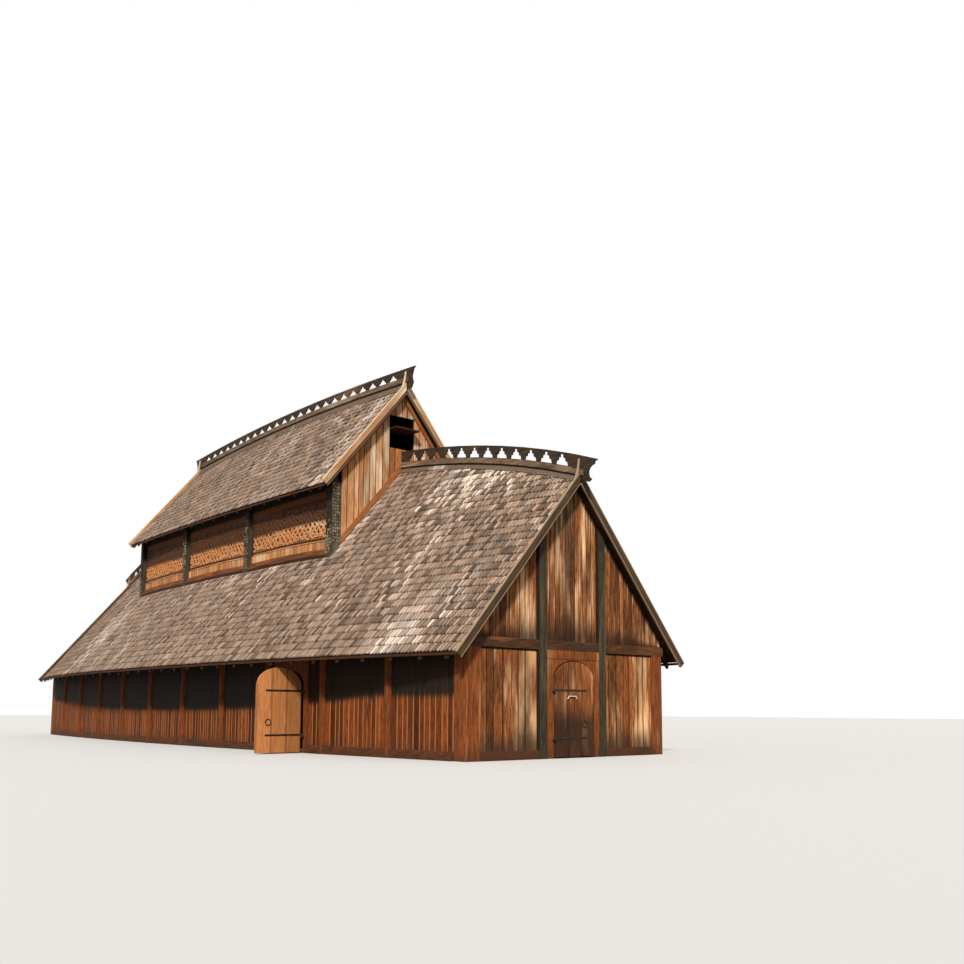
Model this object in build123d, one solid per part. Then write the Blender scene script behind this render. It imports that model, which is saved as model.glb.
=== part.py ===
from build123d import *
import math
import os

# Timber longhouse with bowed long walls, a bowed roof of even pitch and a raised middle roof.
# Millimetres. X runs along the house with the door gable at +X, the side door is at -Y, Z is up.

# Plan of the lower house
GABLE_X = 15500          # outer face of each gable wall from the middle
WALL_MID = 4510          # half width of the walls at the middle
WALL_END = 3600          # half width of the walls at the gables
BAYS = 11                # bays between posts along each long wall

# Lower roof, measured on its outer face; the deck stands for boards, battens and shingles
VERGE_OUT = 320          # roof past the gable wall
EAVE_Z = 2625            # height of the eave
EAVE_OUT = 1306          # eave past the wall at the middle
EAVE_OUT_END = 447       # eave past the end of the wall at the verge
ROOF_PITCH = 49.667      # degrees
BOW_FLAT = 0.7           # share of the bow that follows a parabola, the rest is stiffer
DECK_V = 135             # upright thickness of the deck
RAFTER_V = 160           # upright depth of a rafter
RAFTER_W = 120
RAFTER_SHORT = 90        # rafters end this far inside the eave
RAFTERS_PER_BAY = 3
LATH_T = 30              # lath along the rafter feet
LATH_V = 35
LATH_JOINT = 4           # gap between the ends of two laths

# Middle roof
CLERE_X = 7700           # outer face of the upper gable walls
CLERE_MID = 2972         # half width of the upper walls at the middle
CLERE_END = 2647         # half width of the upper walls at their gables
U_VERGE_OUT = 190
U_EAVE_UP = 2230         # upper eave above the lower roof at the foot of the upper wall
U_EAVE_OUT = 292
U_EAVE_OUT_END = 413
U_ROOF_PITCH = 50.289    # degrees
U_DECK_V = 115
U_RAFTER_V = 140
U_RAFTER_SHORT = 60

# Long walls
BOARD_T = 50             # wall boards
SILL_TOP = 225
SILL_OUT = 50            # how far the sill stands out from the boards
SILL_IN = 150
POST_R = 130             # round wall posts
POST_BACK = 40           # their centre, behind the face of the boards
CORNER_W = 460           # square corner posts
CORNER_PROUD = 30        # they stand out from both walls
CORNER_ROUND = 65        # radius of their outer edge
PLATE_W = 180
PLATE_LIP = 120          # plate height at the outer face

# Gable walls
TIE_DOWN = 72            # underside of the gable tie beam, below that of the wall plates
TIE_H = 250
TIE_OUT = 40
TIE_IN = 100
TIE_PAST = 60            # tie beam past the wall line
GPOST_Y = 1105
GPOST_W = 250
GPOST_OUT = 70
GPOST_IN = 90
BARGE_T = 50
BARGE_V = 330            # upright depth of the bargeboards
BARGE_UP = 165           # their top edge above the deck
BARGE_PAST = 168         # their tips past the eave
U_BARGE_V = 420
U_BARGE_PAST = 92
HORN_H = 500             # horns of the bargeboards, tip above the ridge
HORN_GAP = 12            # from the face of the crest
HORN_TIP = 25            # width of the tip
HORN_IN = 120            # foot of the horn, from the middle of the house
HORN_OUT = 205
HORN_WAIST = (58, 98)    # both edges at half its height

# Crests on the ridges
RAIL_W = 65              # from the middle to the outer face of the rails beside the crest
RAIL_V = 160
RAIL_PAST = 120          # rails past the bargeboards
CREST_T = 45
CREST_H = 612            # top of the crest above the ridge
CREST_FOOT = 230         # top of the rails on the lower roof
U_CREST_FOOT = 295       # the same on the middle roof
CREST_TOP_RAIL = 67
U_CREST_TOP_RAIL = 100
CREST_PITCH = 620        # from one cut-out to the next
CREST_PAST = 676         # tip of the crest past the verge
U_CREST_PAST = 527
CUT_HALVES = (236, 206, 146, 126, 62)    # half widths of a cut-out from its foot to its top
CUT_STEPS = (0.37, 0.68)                 # heights of its two shoulders, as shares of its height
CUT_UP = 20              # its foot above the rails
LIP_BACK = 110           # underside of the crest's tip
LIP_V = 80
WAIST_PAST = 345         # neck of the end board past the verge
HEEL_PAST = 450          # lower spur of the end board
U_HEEL_PAST = 413
HEEL_DOWN = 190
CHIN_BACK = 100
CHIN_DOWN = 290
U_CHIN_DOWN = 390

# Inner frame
MAIN_W = 340             # carved main posts, across the house
MAIN_D = 300             # along the house
MAIN_INNER = 2566        # middle of the inner main posts
END_POST_X = 11600
END_POST_Y = 2350        # centre of the plain posts in the end bays
END_POST_W = 260
BEAM_H = 240
BEAM_W = 180
BEAM_DROP = 333          # low cross beams under the foot beams
U_BEAM_DROP = 259        # high cross beams under the upper plates
END_BEAM_DROP = 75       # end beams under the outer top edge of their posts
U_PLATE_W = 220
U_PLATE_LIP = 120
FOOT_BEAM_W = 200        # beam that carries the upper wall on the lower roof's edge
FOOT_BEAM_UP = 35        # its top above the deck
FOOT_BEAM_DOWN = 60      # its foot below the rafters

# Upper walls
PANEL_T = 60
PANEL_BACK = 120         # face of the carved panels, behind the faces of the posts
SILLBOARD_V = 210        # sloping board at the foot of the panels
SILLBOARD_LIP = 30
U_WALL_T = 60
SMOKE_Y = 485            # half width of the smoke opening
SMOKE_DOWN = 1011        # its top under the ridge
SMOKE_V = 1110
HATCH_UP = 620           # smoke flap above the foot of the opening
HATCH_T = 40
HATCH_OUT = 330
RAKE_V = 235             # boards along the foot of the upper gables
RAKE_T = 40
BATTEN_DOWN = 80         # battens near the top of the upper gables, under the deck
BATTEN_V = 230
BATTEN_T = 60

# Doors
DOOR_W = 1450            # leaf width
DOOR_RISE = 500          # height of its arch
DOOR_T = 50
DOOR_LOW = 30            # clearance under the leaf
DOOR_LAP = 45            # leaf over the frame
DOOR_CLEAR = 6           # between closed leaf and frame
SIDE_LEAF_DOWN = 245     # top of the side leaf under the height of the eave
SIDE_DOOR_BAY = 8        # its bay, counted from -X
SIDE_DOOR_OFF = 150      # from the middle of that bay towards the middle of the house
FRAME_W = 190
FRAME_T = 110
FRAME_OUT = 40           # frame stands out from the boards
FRAME_HEAD = 305         # timber over the side door's arch
LINTEL_V = 220           # board under the tie beam, over the gable door
LINTEL_OUT = 15
ARCH_COVER = 107         # between the gable door's arch and that board
STRAP_Z = (513, 1743)
STRAP_H = 50
STRAP_T = 8
STRAP_LEN = 1180
PIN_R = 11
EYE_R = 20
EYE_H = 60
SHOULDER_H = 40          # shoulder under each eye
FIT = 0.5                # gap between pin and eye
PIN_OFF = 22             # pin axis outside the leaf's face and beside its edge
SEAT = 0.3
RING_Z = 870
RING_R = 85
RING_IN = 375            # ring from the free edge
RING_WIRE = 11
HANDLE_Z = 1525          # bowed handle of the gable door
HANDLE_SIDE = 131        # its middle from the middle of the leaf, towards the hinge
HANDLE_HALF = 160
HANDLE_RISE = 66
HANDLE_LEAN = 32
HANDLE_BAR = 24
HANDLE_OUT = 50
PEG_R = 10

# Sizes that follow from the ones above
VERGE_X = GABLE_X + VERGE_OUT
EAVE_MID = WALL_MID + EAVE_OUT
EAVE_END = WALL_END + EAVE_OUT_END
PITCH = math.tan(math.radians(ROOF_PITCH))
U_VERGE_X = CLERE_X + U_VERGE_OUT
U_EAVE_MID = CLERE_MID + U_EAVE_OUT
U_EAVE_END = CLERE_END + U_EAVE_OUT_END
U_PITCH = math.tan(math.radians(U_ROOF_PITCH))
MAIN_X = (MAIN_INNER, CLERE_X - MAIN_D / 2)
WALL_X = GABLE_X - TIE_IN
CORNER_X = GABLE_X + CORNER_PROUD - CORNER_W
CORNER_Y = WALL_END + CORNER_PROUD - CORNER_W
GPOST_EDGES = (GPOST_Y - GPOST_W / 2, GPOST_Y + GPOST_W / 2)
FAR = 2 * GABLE_X        # longer than any cut needs

os.makedirs("parts", exist_ok=True)


def cut_xs():
    """Places along the house where walls and roof bend."""
    n = BAYS * RAFTERS_PER_BAY
    xs = [-GABLE_X + 2 * GABLE_X * i / n for i in range(n + 1)]
    past = VERGE_X + CREST_PAST
    return [-past, -VERGE_X] + xs + [VERGE_X, past]


STATIONS = cut_xs()
U_END = U_VERGE_X + U_CREST_PAST
U_STATIONS = [-U_END, -U_VERGE_X] + [s for s in STATIONS if abs(s) < CLERE_X] + [U_VERGE_X, U_END]
FRAMES = [-GABLE_X + 2 * GABLE_X * i / BAYS for i in range(BAYS + 1)]
INNER_FRAMES = FRAMES[1:-1]


def between(curve, x, knots=STATIONS):
    """Value at x on straight runs between the knots of a curve."""
    for a, b in zip(knots, knots[1:]):
        if a <= x <= b:
            return curve(a) + (curve(b) - curve(a)) * (x - a) / (b - a)
    return curve(x)


def eave_curve(x):
    r = (x / VERGE_X) ** 2
    return EAVE_MID - (EAVE_MID - EAVE_END) * (BOW_FLAT * r + (1 - BOW_FLAT) * r * r)


def eave_y(x):
    return between(eave_curve, x)


def ridge_z(x):
    """The roof has one pitch, so its ridge sinks where its eaves draw in."""
    return EAVE_Z + PITCH * eave_y(x)


def wall_y(x):
    return between(lambda a: WALL_MID - (WALL_MID - WALL_END) * (a / GABLE_X) ** 2, x, FRAMES)


def deck_z(x, y):
    """Top of the lower roof deck."""
    return ridge_z(x) - PITCH * abs(y)


def deck_foot(x, y):
    return deck_z(x, y) - DECK_V


def under_z(x, y):
    """Underside of the lower rafters."""
    return deck_foot(x, y) - RAFTER_V


def plate_z(x):
    """Underside of the wall plate."""
    return under_z(x, wall_y(x)) - PLATE_LIP


U_EAVE_Z = deck_z(0, CLERE_MID) + U_EAVE_UP
TIE_Z = plate_z(GABLE_X) - TIE_DOWN
TIE_TOP = TIE_Z + TIE_H


def u_eave_curve(x):
    return U_EAVE_MID - (U_EAVE_MID - U_EAVE_END) * (x / U_VERGE_X) ** 2


def u_eave_y(x):
    return between(u_eave_curve, x, U_STATIONS)


def u_ridge_z(x):
    return U_EAVE_Z + U_PITCH * u_eave_y(x)


def u_deck_z(x, y):
    return u_ridge_z(x) - U_PITCH * abs(y)


def u_deck_foot(x, y):
    return u_deck_z(x, y) - U_DECK_V


def u_under_z(x, y):
    """Underside of the upper rafters."""
    return u_deck_foot(x, y) - U_RAFTER_V


def clere_y(x):
    """Outer face of the main posts, straight from post to post."""
    full = CLERE_MID - CLERE_END
    knots = [(m, CLERE_MID - full * (m / CLERE_X) ** 2) for m in (0, MAIN_INNER, CLERE_X)]
    knots[0] = (0, knots[1][1])
    a = min(abs(x), CLERE_X)
    for (x0, y0), (x1, y1) in zip(knots, knots[1:]):
        if a <= x1:
            return y0 + (y1 - y0) * (a - x0) / (x1 - x0)
    return CLERE_END


def bends(x0, x1, extra=()):
    """Both ends of a run and every station between them."""
    xs = {x0, x1}
    xs.update(s for s in STATIONS + U_STATIONS + list(extra) if x0 < s < x1)
    return sorted(xs)


def run(x0, x1, section, extra=()):
    """Solid along X whose upright cross section at x is section(x), a list of (y, z)."""
    wires = []
    for x in bends(x0, x1, extra):
        points = [Vector(x, y, z) for y, z in section(x)]
        wires.append(Wire.make_polygon(points, close=True))
    return Solid.make_loft(wires, True)


def plate(edges, direction):
    """Closed chain of edges, pushed into a plate."""
    return Solid.extrude(Face(Wire(edges)), Vector(*direction))


def polygon(points):
    """Straight edges from point to point."""
    return [Edge.make_line(a, b) for a, b in zip(points, points[1:])]


def slab(points, x0, x1):
    """Upright plate in the YZ plane between two places along the house."""
    face = Face(Wire.make_polygon([Vector(x0, y, z) for y, z in points], close=True))
    return Solid.extrude(face, Vector(x1 - x0, 0, 0))


def block(x0, x1, y0, y1, z0, z1):
    return Pos(x0, y0, z0) * Box(x1 - x0, y1 - y0, z1 - z0, align=(Align.MIN,) * 3)


def upright(radius, height):
    """Cylinder that stands on the origin."""
    return Cylinder(radius, height, align=(Align.CENTER, Align.CENTER, Align.MIN))


def flip_y(shape):
    return mirror(shape, about=Plane.XZ)


def flip_x(shape):
    return mirror(shape, about=Plane.YZ)


def both_y(shapes):
    return list(shapes) + [flip_y(s) for s in shapes]


def both_x(shapes):
    return list(shapes) + [flip_x(s) for s in shapes]


def box_section(y0, y1, z0, z1):
    return [(y0, z0), (y1, z0), (y1, z1), (y0, z1)]


def under_slope(x, y0, y1, top, depth):
    """Cross section of a piece that hangs under a slope, between two places across the house."""
    return [(y0, top(x, y0)), (y1, top(x, y1)), (y1, top(x, y1) - depth), (y0, top(x, y0) - depth)]


NODES = {}


def keep(name, shapes):
    """Name a node and gather its solids."""
    NODES[name] = []
    for shape in shapes if isinstance(shapes, (list, tuple)) else [shapes]:
        NODES[name].extend(shape.solids())


# Long walls, made on the +Y side


def under_plate(post):
    """What lies of an upright post under the slanting foot of the wall plate."""
    box = post.bounding_box()

    def section(a):
        return box_section(box.min.Y - POST_R, box.max.Y + POST_R, 0, plate_z(a))

    return post & run(box.min.X - POST_R, box.max.X + POST_R, section)


def stave(x):
    """Round wall post from the ground to the plate."""
    return under_plate(Pos(x, wall_y(x) - POST_BACK, 0) * upright(POST_R, plate_z(0)))


def corner_post():
    """Square post with one rounded edge, notched for the tie beam."""
    x1 = CORNER_X + CORNER_W
    y1 = CORNER_Y + CORNER_W
    post = block(CORNER_X, x1, CORNER_Y, y1, 0, plate_z(0))
    edge = post.edges().filter_by(Axis.Z).sort_by(lambda e: e.center().X + e.center().Y)[-1]
    return under_plate(fillet(edge, CORNER_ROUND)) - block(WALL_X, FAR, 0, FAR, TIE_Z, FAR)


STAVES = [stave(x) for x in INNER_FRAMES]
CORNER = corner_post()


def wall_strip(x0, x1, y_out, y_in, z0, top):
    """Strip of a long wall from one place to another, cut clear of the posts."""
    def section(a):
        return box_section(wall_y(a) - y_in, wall_y(a) + y_out, z0, top(a))

    strip = run(x0, x1, section)
    for post in STAVES:
        box = post.bounding_box()
        if box.max.X > x0 and box.min.X < x1:
            strip = strip - post
    return strip


def wall_bays(y_out, y_in, z0, top):
    edges = [-CORNER_X] + INNER_FRAMES + [CORNER_X]
    return [wall_strip(a, b, y_out, y_in, z0, top) for a, b in zip(edges, edges[1:])]


def wall_plate():
    def section(x):
        y0 = wall_y(x) - PLATE_W
        y1 = wall_y(x)
        return [(y0, plate_z(x)), (y1, plate_z(x)), (y1, under_z(x, y1)), (y0, under_z(x, y0))]

    return run(-WALL_X, WALL_X, section)


# Doors

CLEAR_W = DOOR_W - 2 * DOOR_LAP
CLEAR_RISE = DOOR_RISE - DOOR_LAP
SIDE_SPRING = EAVE_Z - SIDE_LEAF_DOWN - DOOR_RISE
GABLE_SPRING = TIE_Z - LINTEL_V - ARCH_COVER - CLEAR_RISE
SIDE_DOOR_X = (FRAMES[SIDE_DOOR_BAY] + FRAMES[SIDE_DOOR_BAY + 1]) / 2 - SIDE_DOOR_OFF
FRAME_HALF = CLEAR_W / 2 + FRAME_W
FRAME_TOP = SIDE_SPRING + CLEAR_RISE + FRAME_HEAD


def arch_face(width, low, spring, rise):
    """Door outline in the XZ plane, standing on z = low and centred on x = 0."""
    half = width / 2
    with BuildSketch(Plane.XZ) as sketch:
        with BuildLine():
            Line((-half, low), (half, low))
            Line((half, low), (half, spring))
            EllipticalCenterArc((0, spring), half, rise, start_angle=0, arc_size=180)
            Line((-half, spring), (-half, low))
        make_face()
    return sketch.sketch.face()


def doorway(spring):
    """Cutter for a doorway, as deep as the frame needs on both sides of the XZ plane."""
    return extrude(arch_face(CLEAR_W, -DOOR_LOW, spring, CLEAR_RISE), 2 * FRAME_T, both=True)


def door_leaf(spring):
    """Leaf with its pin axis on Z, reaching along +X, outer face towards -Y."""
    leaf = extrude(arch_face(DOOR_W, DOOR_LOW, spring, DOOR_RISE), DOOR_T)
    box = leaf.bounding_box()
    return Pos(PIN_OFF - box.min.X, PIN_OFF - box.min.Y, 0) * leaf


def door_irons():
    """Two strap hinges with their eyes, and a ring with its staple."""
    irons = []
    for z in STRAP_Z:
        low = z - STRAP_H / 2
        high = z + STRAP_H / 2
        bar = block(0, STRAP_LEN, PIN_OFF - STRAP_T, PIN_OFF, low, high)
        web = block(0, EYE_R, 0, PIN_OFF, low, high)
        eye = Pos(0, 0, z) * Cylinder(EYE_R, EYE_H)
        hole = Pos(0, 0, z) * Cylinder(PIN_R + FIT, 2 * EYE_H)
        irons.append(bar + eye + web - hole)
    place = Pos(PIN_OFF + DOOR_W - RING_IN, PIN_OFF - RING_WIRE, RING_Z)
    irons.append(place * Rot(90, 0, 0) * Torus(RING_R, RING_WIRE))
    return irons


def door_handle():
    """Bowed bar on two pegs, across the leaf."""
    top = HANDLE_HALF - HANDLE_LEAN
    corners = [(-HANDLE_HALF, 0), (-top, HANDLE_RISE), (top, HANDLE_RISE), (HANDLE_HALF, 0)]
    with BuildSketch(Plane.XZ) as sketch:
        with BuildLine() as path:
            FilletPolyline(*corners, radius=HANDLE_BAR)
        trace(path.line, HANDLE_BAR)
    bar = extrude(sketch.sketch.face(), HANDLE_BAR)
    peg = Rot(-90, 0, 0) * upright(PEG_R, HANDLE_OUT)
    shape = Pos(0, bar.bounding_box().size.Y - bar.bounding_box().max.Y, 0) * bar
    for side in (-1, 1):
        shape = shape + Pos(side * HANDLE_HALF, 0, 0) * peg
    return Pos(PIN_OFF + DOOR_W / 2 - HANDLE_SIDE, PIN_OFF - HANDLE_OUT, HANDLE_Z) * shape


def door_pins():
    """Pins on the frame, each with a shoulder under the eye and an arm back to the frame."""
    pins = []
    for z in STRAP_Z:
        low = z - EYE_H / 2 - SEAT
        pin = Pos(0, 0, low) * upright(PIN_R, EYE_H + SEAT)
        shoulder = Pos(0, 0, low - SHOULDER_H) * upright(EYE_R, SHOULDER_H)
        arm = block(-EYE_R, EYE_R, 0, frame_face(), low - SHOULDER_H, low)
        pins.append(pin + shoulder + arm)
    return pins


def frame_face():
    """Distance from the pin axis to the face of the door frame."""
    return PIN_OFF + DOOR_T + DOOR_CLEAR


def side_pin():
    """Place of the side door's pin axis and the turn of its bay of wall."""
    a = FRAMES[SIDE_DOOR_BAY]
    b = FRAMES[SIDE_DOOR_BAY + 1]
    turn = math.atan2(wall_y(a) - wall_y(b), b - a)
    along = DOOR_W / 2 + PIN_OFF
    out = frame_face()
    x = SIDE_DOOR_X + along * math.cos(turn) + out * math.sin(turn)
    y = -wall_y(SIDE_DOOR_X) - FRAME_OUT + along * math.sin(turn) - out * math.cos(turn)
    return x, y, math.degrees(turn)


def place_side(shape, turn=0):
    """Set a door piece at the side doorway's hinge; the closed leaf reaches towards -X."""
    x, y, angle = side_pin()
    return Pos(x, y, 0) * Rot(0, 0, angle + turn) * flip_x(shape)


def place_gable(shape):
    """Set a door piece at the gable doorway's hinge, on the -Y side of it."""
    x = GABLE_X + FRAME_OUT + frame_face()
    return Pos(x, -DOOR_W / 2 - PIN_OFF, 0) * Rot(0, 0, 90) * shape


def side_frame():
    """Jambs and arched head round the side doorway."""
    def section(a):
        face = -wall_y(a) - FRAME_OUT
        return box_section(face, face + FRAME_T, 0, FRAME_TOP)

    body = run(SIDE_DOOR_X - FRAME_HALF, SIDE_DOOR_X + FRAME_HALF, section)
    body = body - Pos(SIDE_DOOR_X, -wall_y(SIDE_DOOR_X), 0) * doorway(SIDE_SPRING)
    head_box = block(0, FAR, -FAR, 0, SIDE_SPRING, FAR)
    return body - head_box, body & head_box


def gable_frame():
    """Jambs between the gable posts, and the arched head with its lintel board."""
    inner = GPOST_EDGES[0]
    face = GABLE_X + FRAME_OUT
    body = block(face - FRAME_T, face, -inner, inner, 0, TIE_Z)
    body = body - Pos(GABLE_X, 0, 0) * Rot(0, 0, 90) * doorway(GABLE_SPRING)
    head_box = block(0, FAR, -FAR, FAR, GABLE_SPRING, FAR)
    lintel = block(face - FRAME_T, face + LINTEL_OUT, -inner, inner, TIE_Z - LINTEL_V, TIE_Z)
    return body - head_box, (body & head_box) + lintel


def make_long_walls():
    keep("back_posts", STAVES)
    keep("front_posts", [flip_y(s) for s in STAVES])
    sills = wall_bays(SILL_OUT, SILL_IN, 0, lambda a: SILL_TOP)
    boards = wall_bays(0, BOARD_T, SILL_TOP, plate_z)
    keep("back_wall_boards", boards)
    frame_cut = block(SIDE_DOOR_X - FRAME_HALF, SIDE_DOOR_X + FRAME_HALF, -FAR, 0, -FAR, FRAME_TOP)
    keep("long_sills", sills + [flip_y(s) - frame_cut for s in sills])
    keep("front_wall_boards", [flip_y(s) - frame_cut for s in boards])
    jambs, head = side_frame()
    keep("side_door_jambs", jambs)
    keep("side_door_head", head)
    keep("wall_plates", both_y([wall_plate()]))


# Gable walls, made at +X


def gable_posts():
    def section(a):
        y0, y1 = GPOST_EDGES
        return [(y0, 0), (y1, 0), (y1, deck_foot(a, y1)), (y0, deck_foot(a, y0))]

    return both_y([run(GABLE_X - GPOST_IN, GABLE_X + GPOST_OUT, section)])


def tie_beam():
    reach = WALL_END + TIE_PAST
    return block(GABLE_X - TIE_IN, GABLE_X + TIE_OUT, -reach, reach, TIE_Z, TIE_TOP)


def low_gable_boards(doorway_here):
    """Boards under the tie beam, beside the posts, and between them where there is no door."""
    x0 = GABLE_X - BOARD_T
    inner, outer = GPOST_EDGES
    side = block(x0, GABLE_X, outer, CORNER_Y, SILL_TOP, TIE_Z)
    boards = [side, flip_y(side)]
    if not doorway_here:
        boards.append(block(x0, GABLE_X, -inner, inner, SILL_TOP, TIE_Z))
    return boards


def high_gable_boards():
    """Boards over the tie beam, beside and between the posts."""
    inner, outer = GPOST_EDGES
    low = TIE_TOP

    def top(y):
        return y, deck_foot(GABLE_X, y)

    wing = slab([(outer, low), (WALL_END, low), top(WALL_END), top(outer)], GABLE_X - BOARD_T, GABLE_X)
    middle = [(-inner, low), (inner, low), top(inner), top(0), top(-inner)]
    return [wing, flip_y(wing), slab(middle, GABLE_X - BOARD_T, GABLE_X)]


def gable_sills(doorway_here):
    x0 = GABLE_X - SILL_IN
    x1 = GABLE_X + SILL_OUT
    inner, outer = GPOST_EDGES
    side = block(x0, x1, outer, CORNER_Y, 0, SILL_TOP)
    sills = [side, flip_y(side)]
    if not doorway_here:
        sills.append(block(x0, x1, -inner, inner, 0, SILL_TOP))
    return sills


def bargeboard(face_x, ridge, pitch, tip, depth):
    """Raking board with a square cut tip and a curved horn that rises beside the crest."""
    def top(y):
        return Vector(face_x, y, ridge + BARGE_UP - pitch * y)

    def at(y, up):
        return Vector(face_x, y, ridge + up)

    half = CREST_T / 2
    slope = Vector(0, -pitch, -1).normalized()
    low = top(tip) + slope * (depth / math.hypot(1, pitch))
    horn_top = (at(half + HORN_GAP, HORN_H), at(half + HORN_GAP + HORN_TIP, HORN_H))
    waist = [at(y, HORN_H / 2) for y in HORN_WAIST]
    edges = polygon([top(HORN_OUT), top(tip), low, top(half) - Vector(0, 0, depth), top(half), top(HORN_IN)])
    edges.append(Edge.make_three_point_arc(top(HORN_IN), waist[0], horn_top[0]))
    edges.append(Edge.make_line(*horn_top))
    edges.append(Edge.make_three_point_arc(horn_top[1], waist[1], top(HORN_OUT)))
    return plate(edges, (BARGE_T, 0, 0))


def make_gables():
    keep("corner_posts", both_x(both_y([CORNER])))
    posts = gable_posts()
    keep("gable_posts", both_x(posts))
    tie = tie_beam()
    for post in posts:
        tie = tie - post
    keep("gable_tie_beams", both_x([tie]))
    keep("gable_low_boards", low_gable_boards(True) + [flip_x(s) for s in low_gable_boards(False)])
    keep("gable_high_boards", both_x(high_gable_boards()))
    keep("gable_sills", gable_sills(True) + [flip_x(s) for s in gable_sills(False)])
    jambs, head = gable_frame()
    keep("gable_door_jambs", jambs)
    keep("gable_door_head", head)
    board = bargeboard(VERGE_X, ridge_z(VERGE_X), PITCH, EAVE_END + BARGE_PAST, BARGE_V)
    keep("bargeboards", both_x(both_y([board - NEAR_RAIL])))


# Lower roof


def deck_strip(x0, x1, inner):
    """Roof deck of one slope from its eave up to inner(x)."""
    def section(x):
        return under_slope(x, inner(x), eave_y(x), deck_z, DECK_V)

    return run(x0, x1, section, [-MAIN_INNER, MAIN_INNER])


def rafter(x, inner):
    def section(a):
        return under_slope(a, inner(a), eave_y(a) - RAFTER_SHORT, deck_foot, RAFTER_V)

    return run(x - RAFTER_W / 2, x + RAFTER_W / 2, section)


def to_ridge(x):
    """Inner edge of a slope that runs up to the ridge."""
    return 0


def rafters():
    """Rafters at every third of a bay, the last ones just inside the tie beams."""
    out = []
    last = WALL_X - RAFTER_W / 2
    for s in STATIONS[2:-2]:
        x = max(-last, min(last, s))
        out.append(rafter(x, clere_y if abs(x) < CLERE_X else to_ridge))
    return out


def eave_laths(ends, eave, top, short):
    """Laths along the rafter feet, under the edge of the deck, one to a bay."""
    def section(x):
        y0 = eave(x) - short
        return under_slope(x, y0, y0 + LATH_T, top, LATH_V)

    gap = LATH_JOINT / 2
    return [run(a + gap, b - gap, section) for a, b in zip(ends, ends[1:])]


def make_lower_roof():
    near = deck_strip(CLERE_X, VERGE_X, to_ridge)
    middle = deck_strip(-CLERE_X, CLERE_X, clere_y)
    ribs = rafters()
    keep("back_roof_near", near)
    keep("back_roof_middle", middle)
    keep("back_roof_far", flip_x(near))
    keep("back_rafters", ribs)
    for part in ("roof_near", "roof_middle", "roof_far", "rafters"):
        keep("front_" + part, [flip_y(s) for s in NODES["back_" + part]])
    low = eave_laths([-VERGE_X] + INNER_FRAMES + [VERGE_X], eave_y, deck_foot, RAFTER_SHORT)
    ends = [-U_VERGE_X] + [a for a in FRAMES if abs(a) < MAIN_X[1]] + [U_VERGE_X]
    high = eave_laths(ends, u_eave_y, u_deck_foot, U_RAFTER_SHORT)
    keep("eave_laths", both_y(low + high))


# Crests


def ridge_rail(x0, x1, ridge, foot):
    """Rail along one side of a crest."""
    def section(x):
        return box_section(CREST_T / 2, RAIL_W, ridge(x) + foot - RAIL_V, ridge(x) + foot)

    return run(x0, x1, section)


def crest_cut(x, ridge, low, high):
    """One cut-out with two shoulders on each side, narrow at the top; its ledges follow the ridge."""
    heights = [low, low + (high - low) * CUT_STEPS[0], low + (high - low) * CUT_STEPS[1], high]
    levels = [heights[0], heights[1], heights[1], heights[2], heights[2], heights[3]]
    halves = list(CUT_HALVES) + [CUT_HALVES[-1]]
    right = [Vector(x + h, -CREST_T, ridge(x + h) + up) for h, up in zip(halves, levels)]
    left = [Vector(x - h, -CREST_T, ridge(x - h) + up) for h, up in zip(halves, levels)]
    chain = right + left[::-1]
    return plate(polygon(chain + chain[:1]), (0, 2 * CREST_T, 0))


def crest_board(x0, x1, ridge, pitch, foot, top_rail):
    """Board that sits astride the deck, with its row of cut-outs."""
    t = CREST_T / 2

    def section(x):
        z = ridge(x)
        return [(-t, z - pitch * t), (0, z), (t, z - pitch * t), (t, z + CREST_H), (-t, z + CREST_H)]

    body = run(x0, x1, section)
    count = int((x1 - x0 - CREST_PITCH / 2) // CREST_PITCH)
    start = (x0 + x1 - (count - 1) * CREST_PITCH) / 2
    cuts = []
    for i in range(count):
        x = start + i * CREST_PITCH
        cuts.append(crest_cut(x, ridge, foot + CUT_UP, CREST_H - top_rail))
    return body.cut(*cuts)


def finial(verge, past, ridge, foot, spur, drop):
    """Board end past the verge: a lip at the top, a hollow neck and a spur at its heel."""
    def at(out, up):
        return Vector(verge + out, -CREST_T / 2, ridge(verge + out) + up)

    lip = at(past - LIP_BACK, CREST_H - LIP_V)
    neck_top = at(past - LIP_BACK - LIP_V / 4, CREST_H - 2 * LIP_V)
    neck = at(WAIST_PAST, foot)
    heel = at(spur, foot - HEEL_DOWN)
    chin = at(spur - CHIN_BACK, foot - drop)
    edges = polygon([heel, chin, at(0, foot - drop), at(0, CREST_H), at(past, CREST_H), lip, neck_top])
    edges.append(Edge.make_three_point_arc(neck_top, neck, heel))
    return plate(edges, (0, CREST_T, 0))


RAIL_END = VERGE_X + BARGE_T + RAIL_PAST
U_RAIL_END = U_VERGE_X + BARGE_T + RAIL_PAST
NEAR_RAIL = ridge_rail(CLERE_X, RAIL_END, ridge_z, CREST_FOOT)
U_RAIL = ridge_rail(-U_RAIL_END, U_RAIL_END, u_ridge_z, U_CREST_FOOT)


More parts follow.
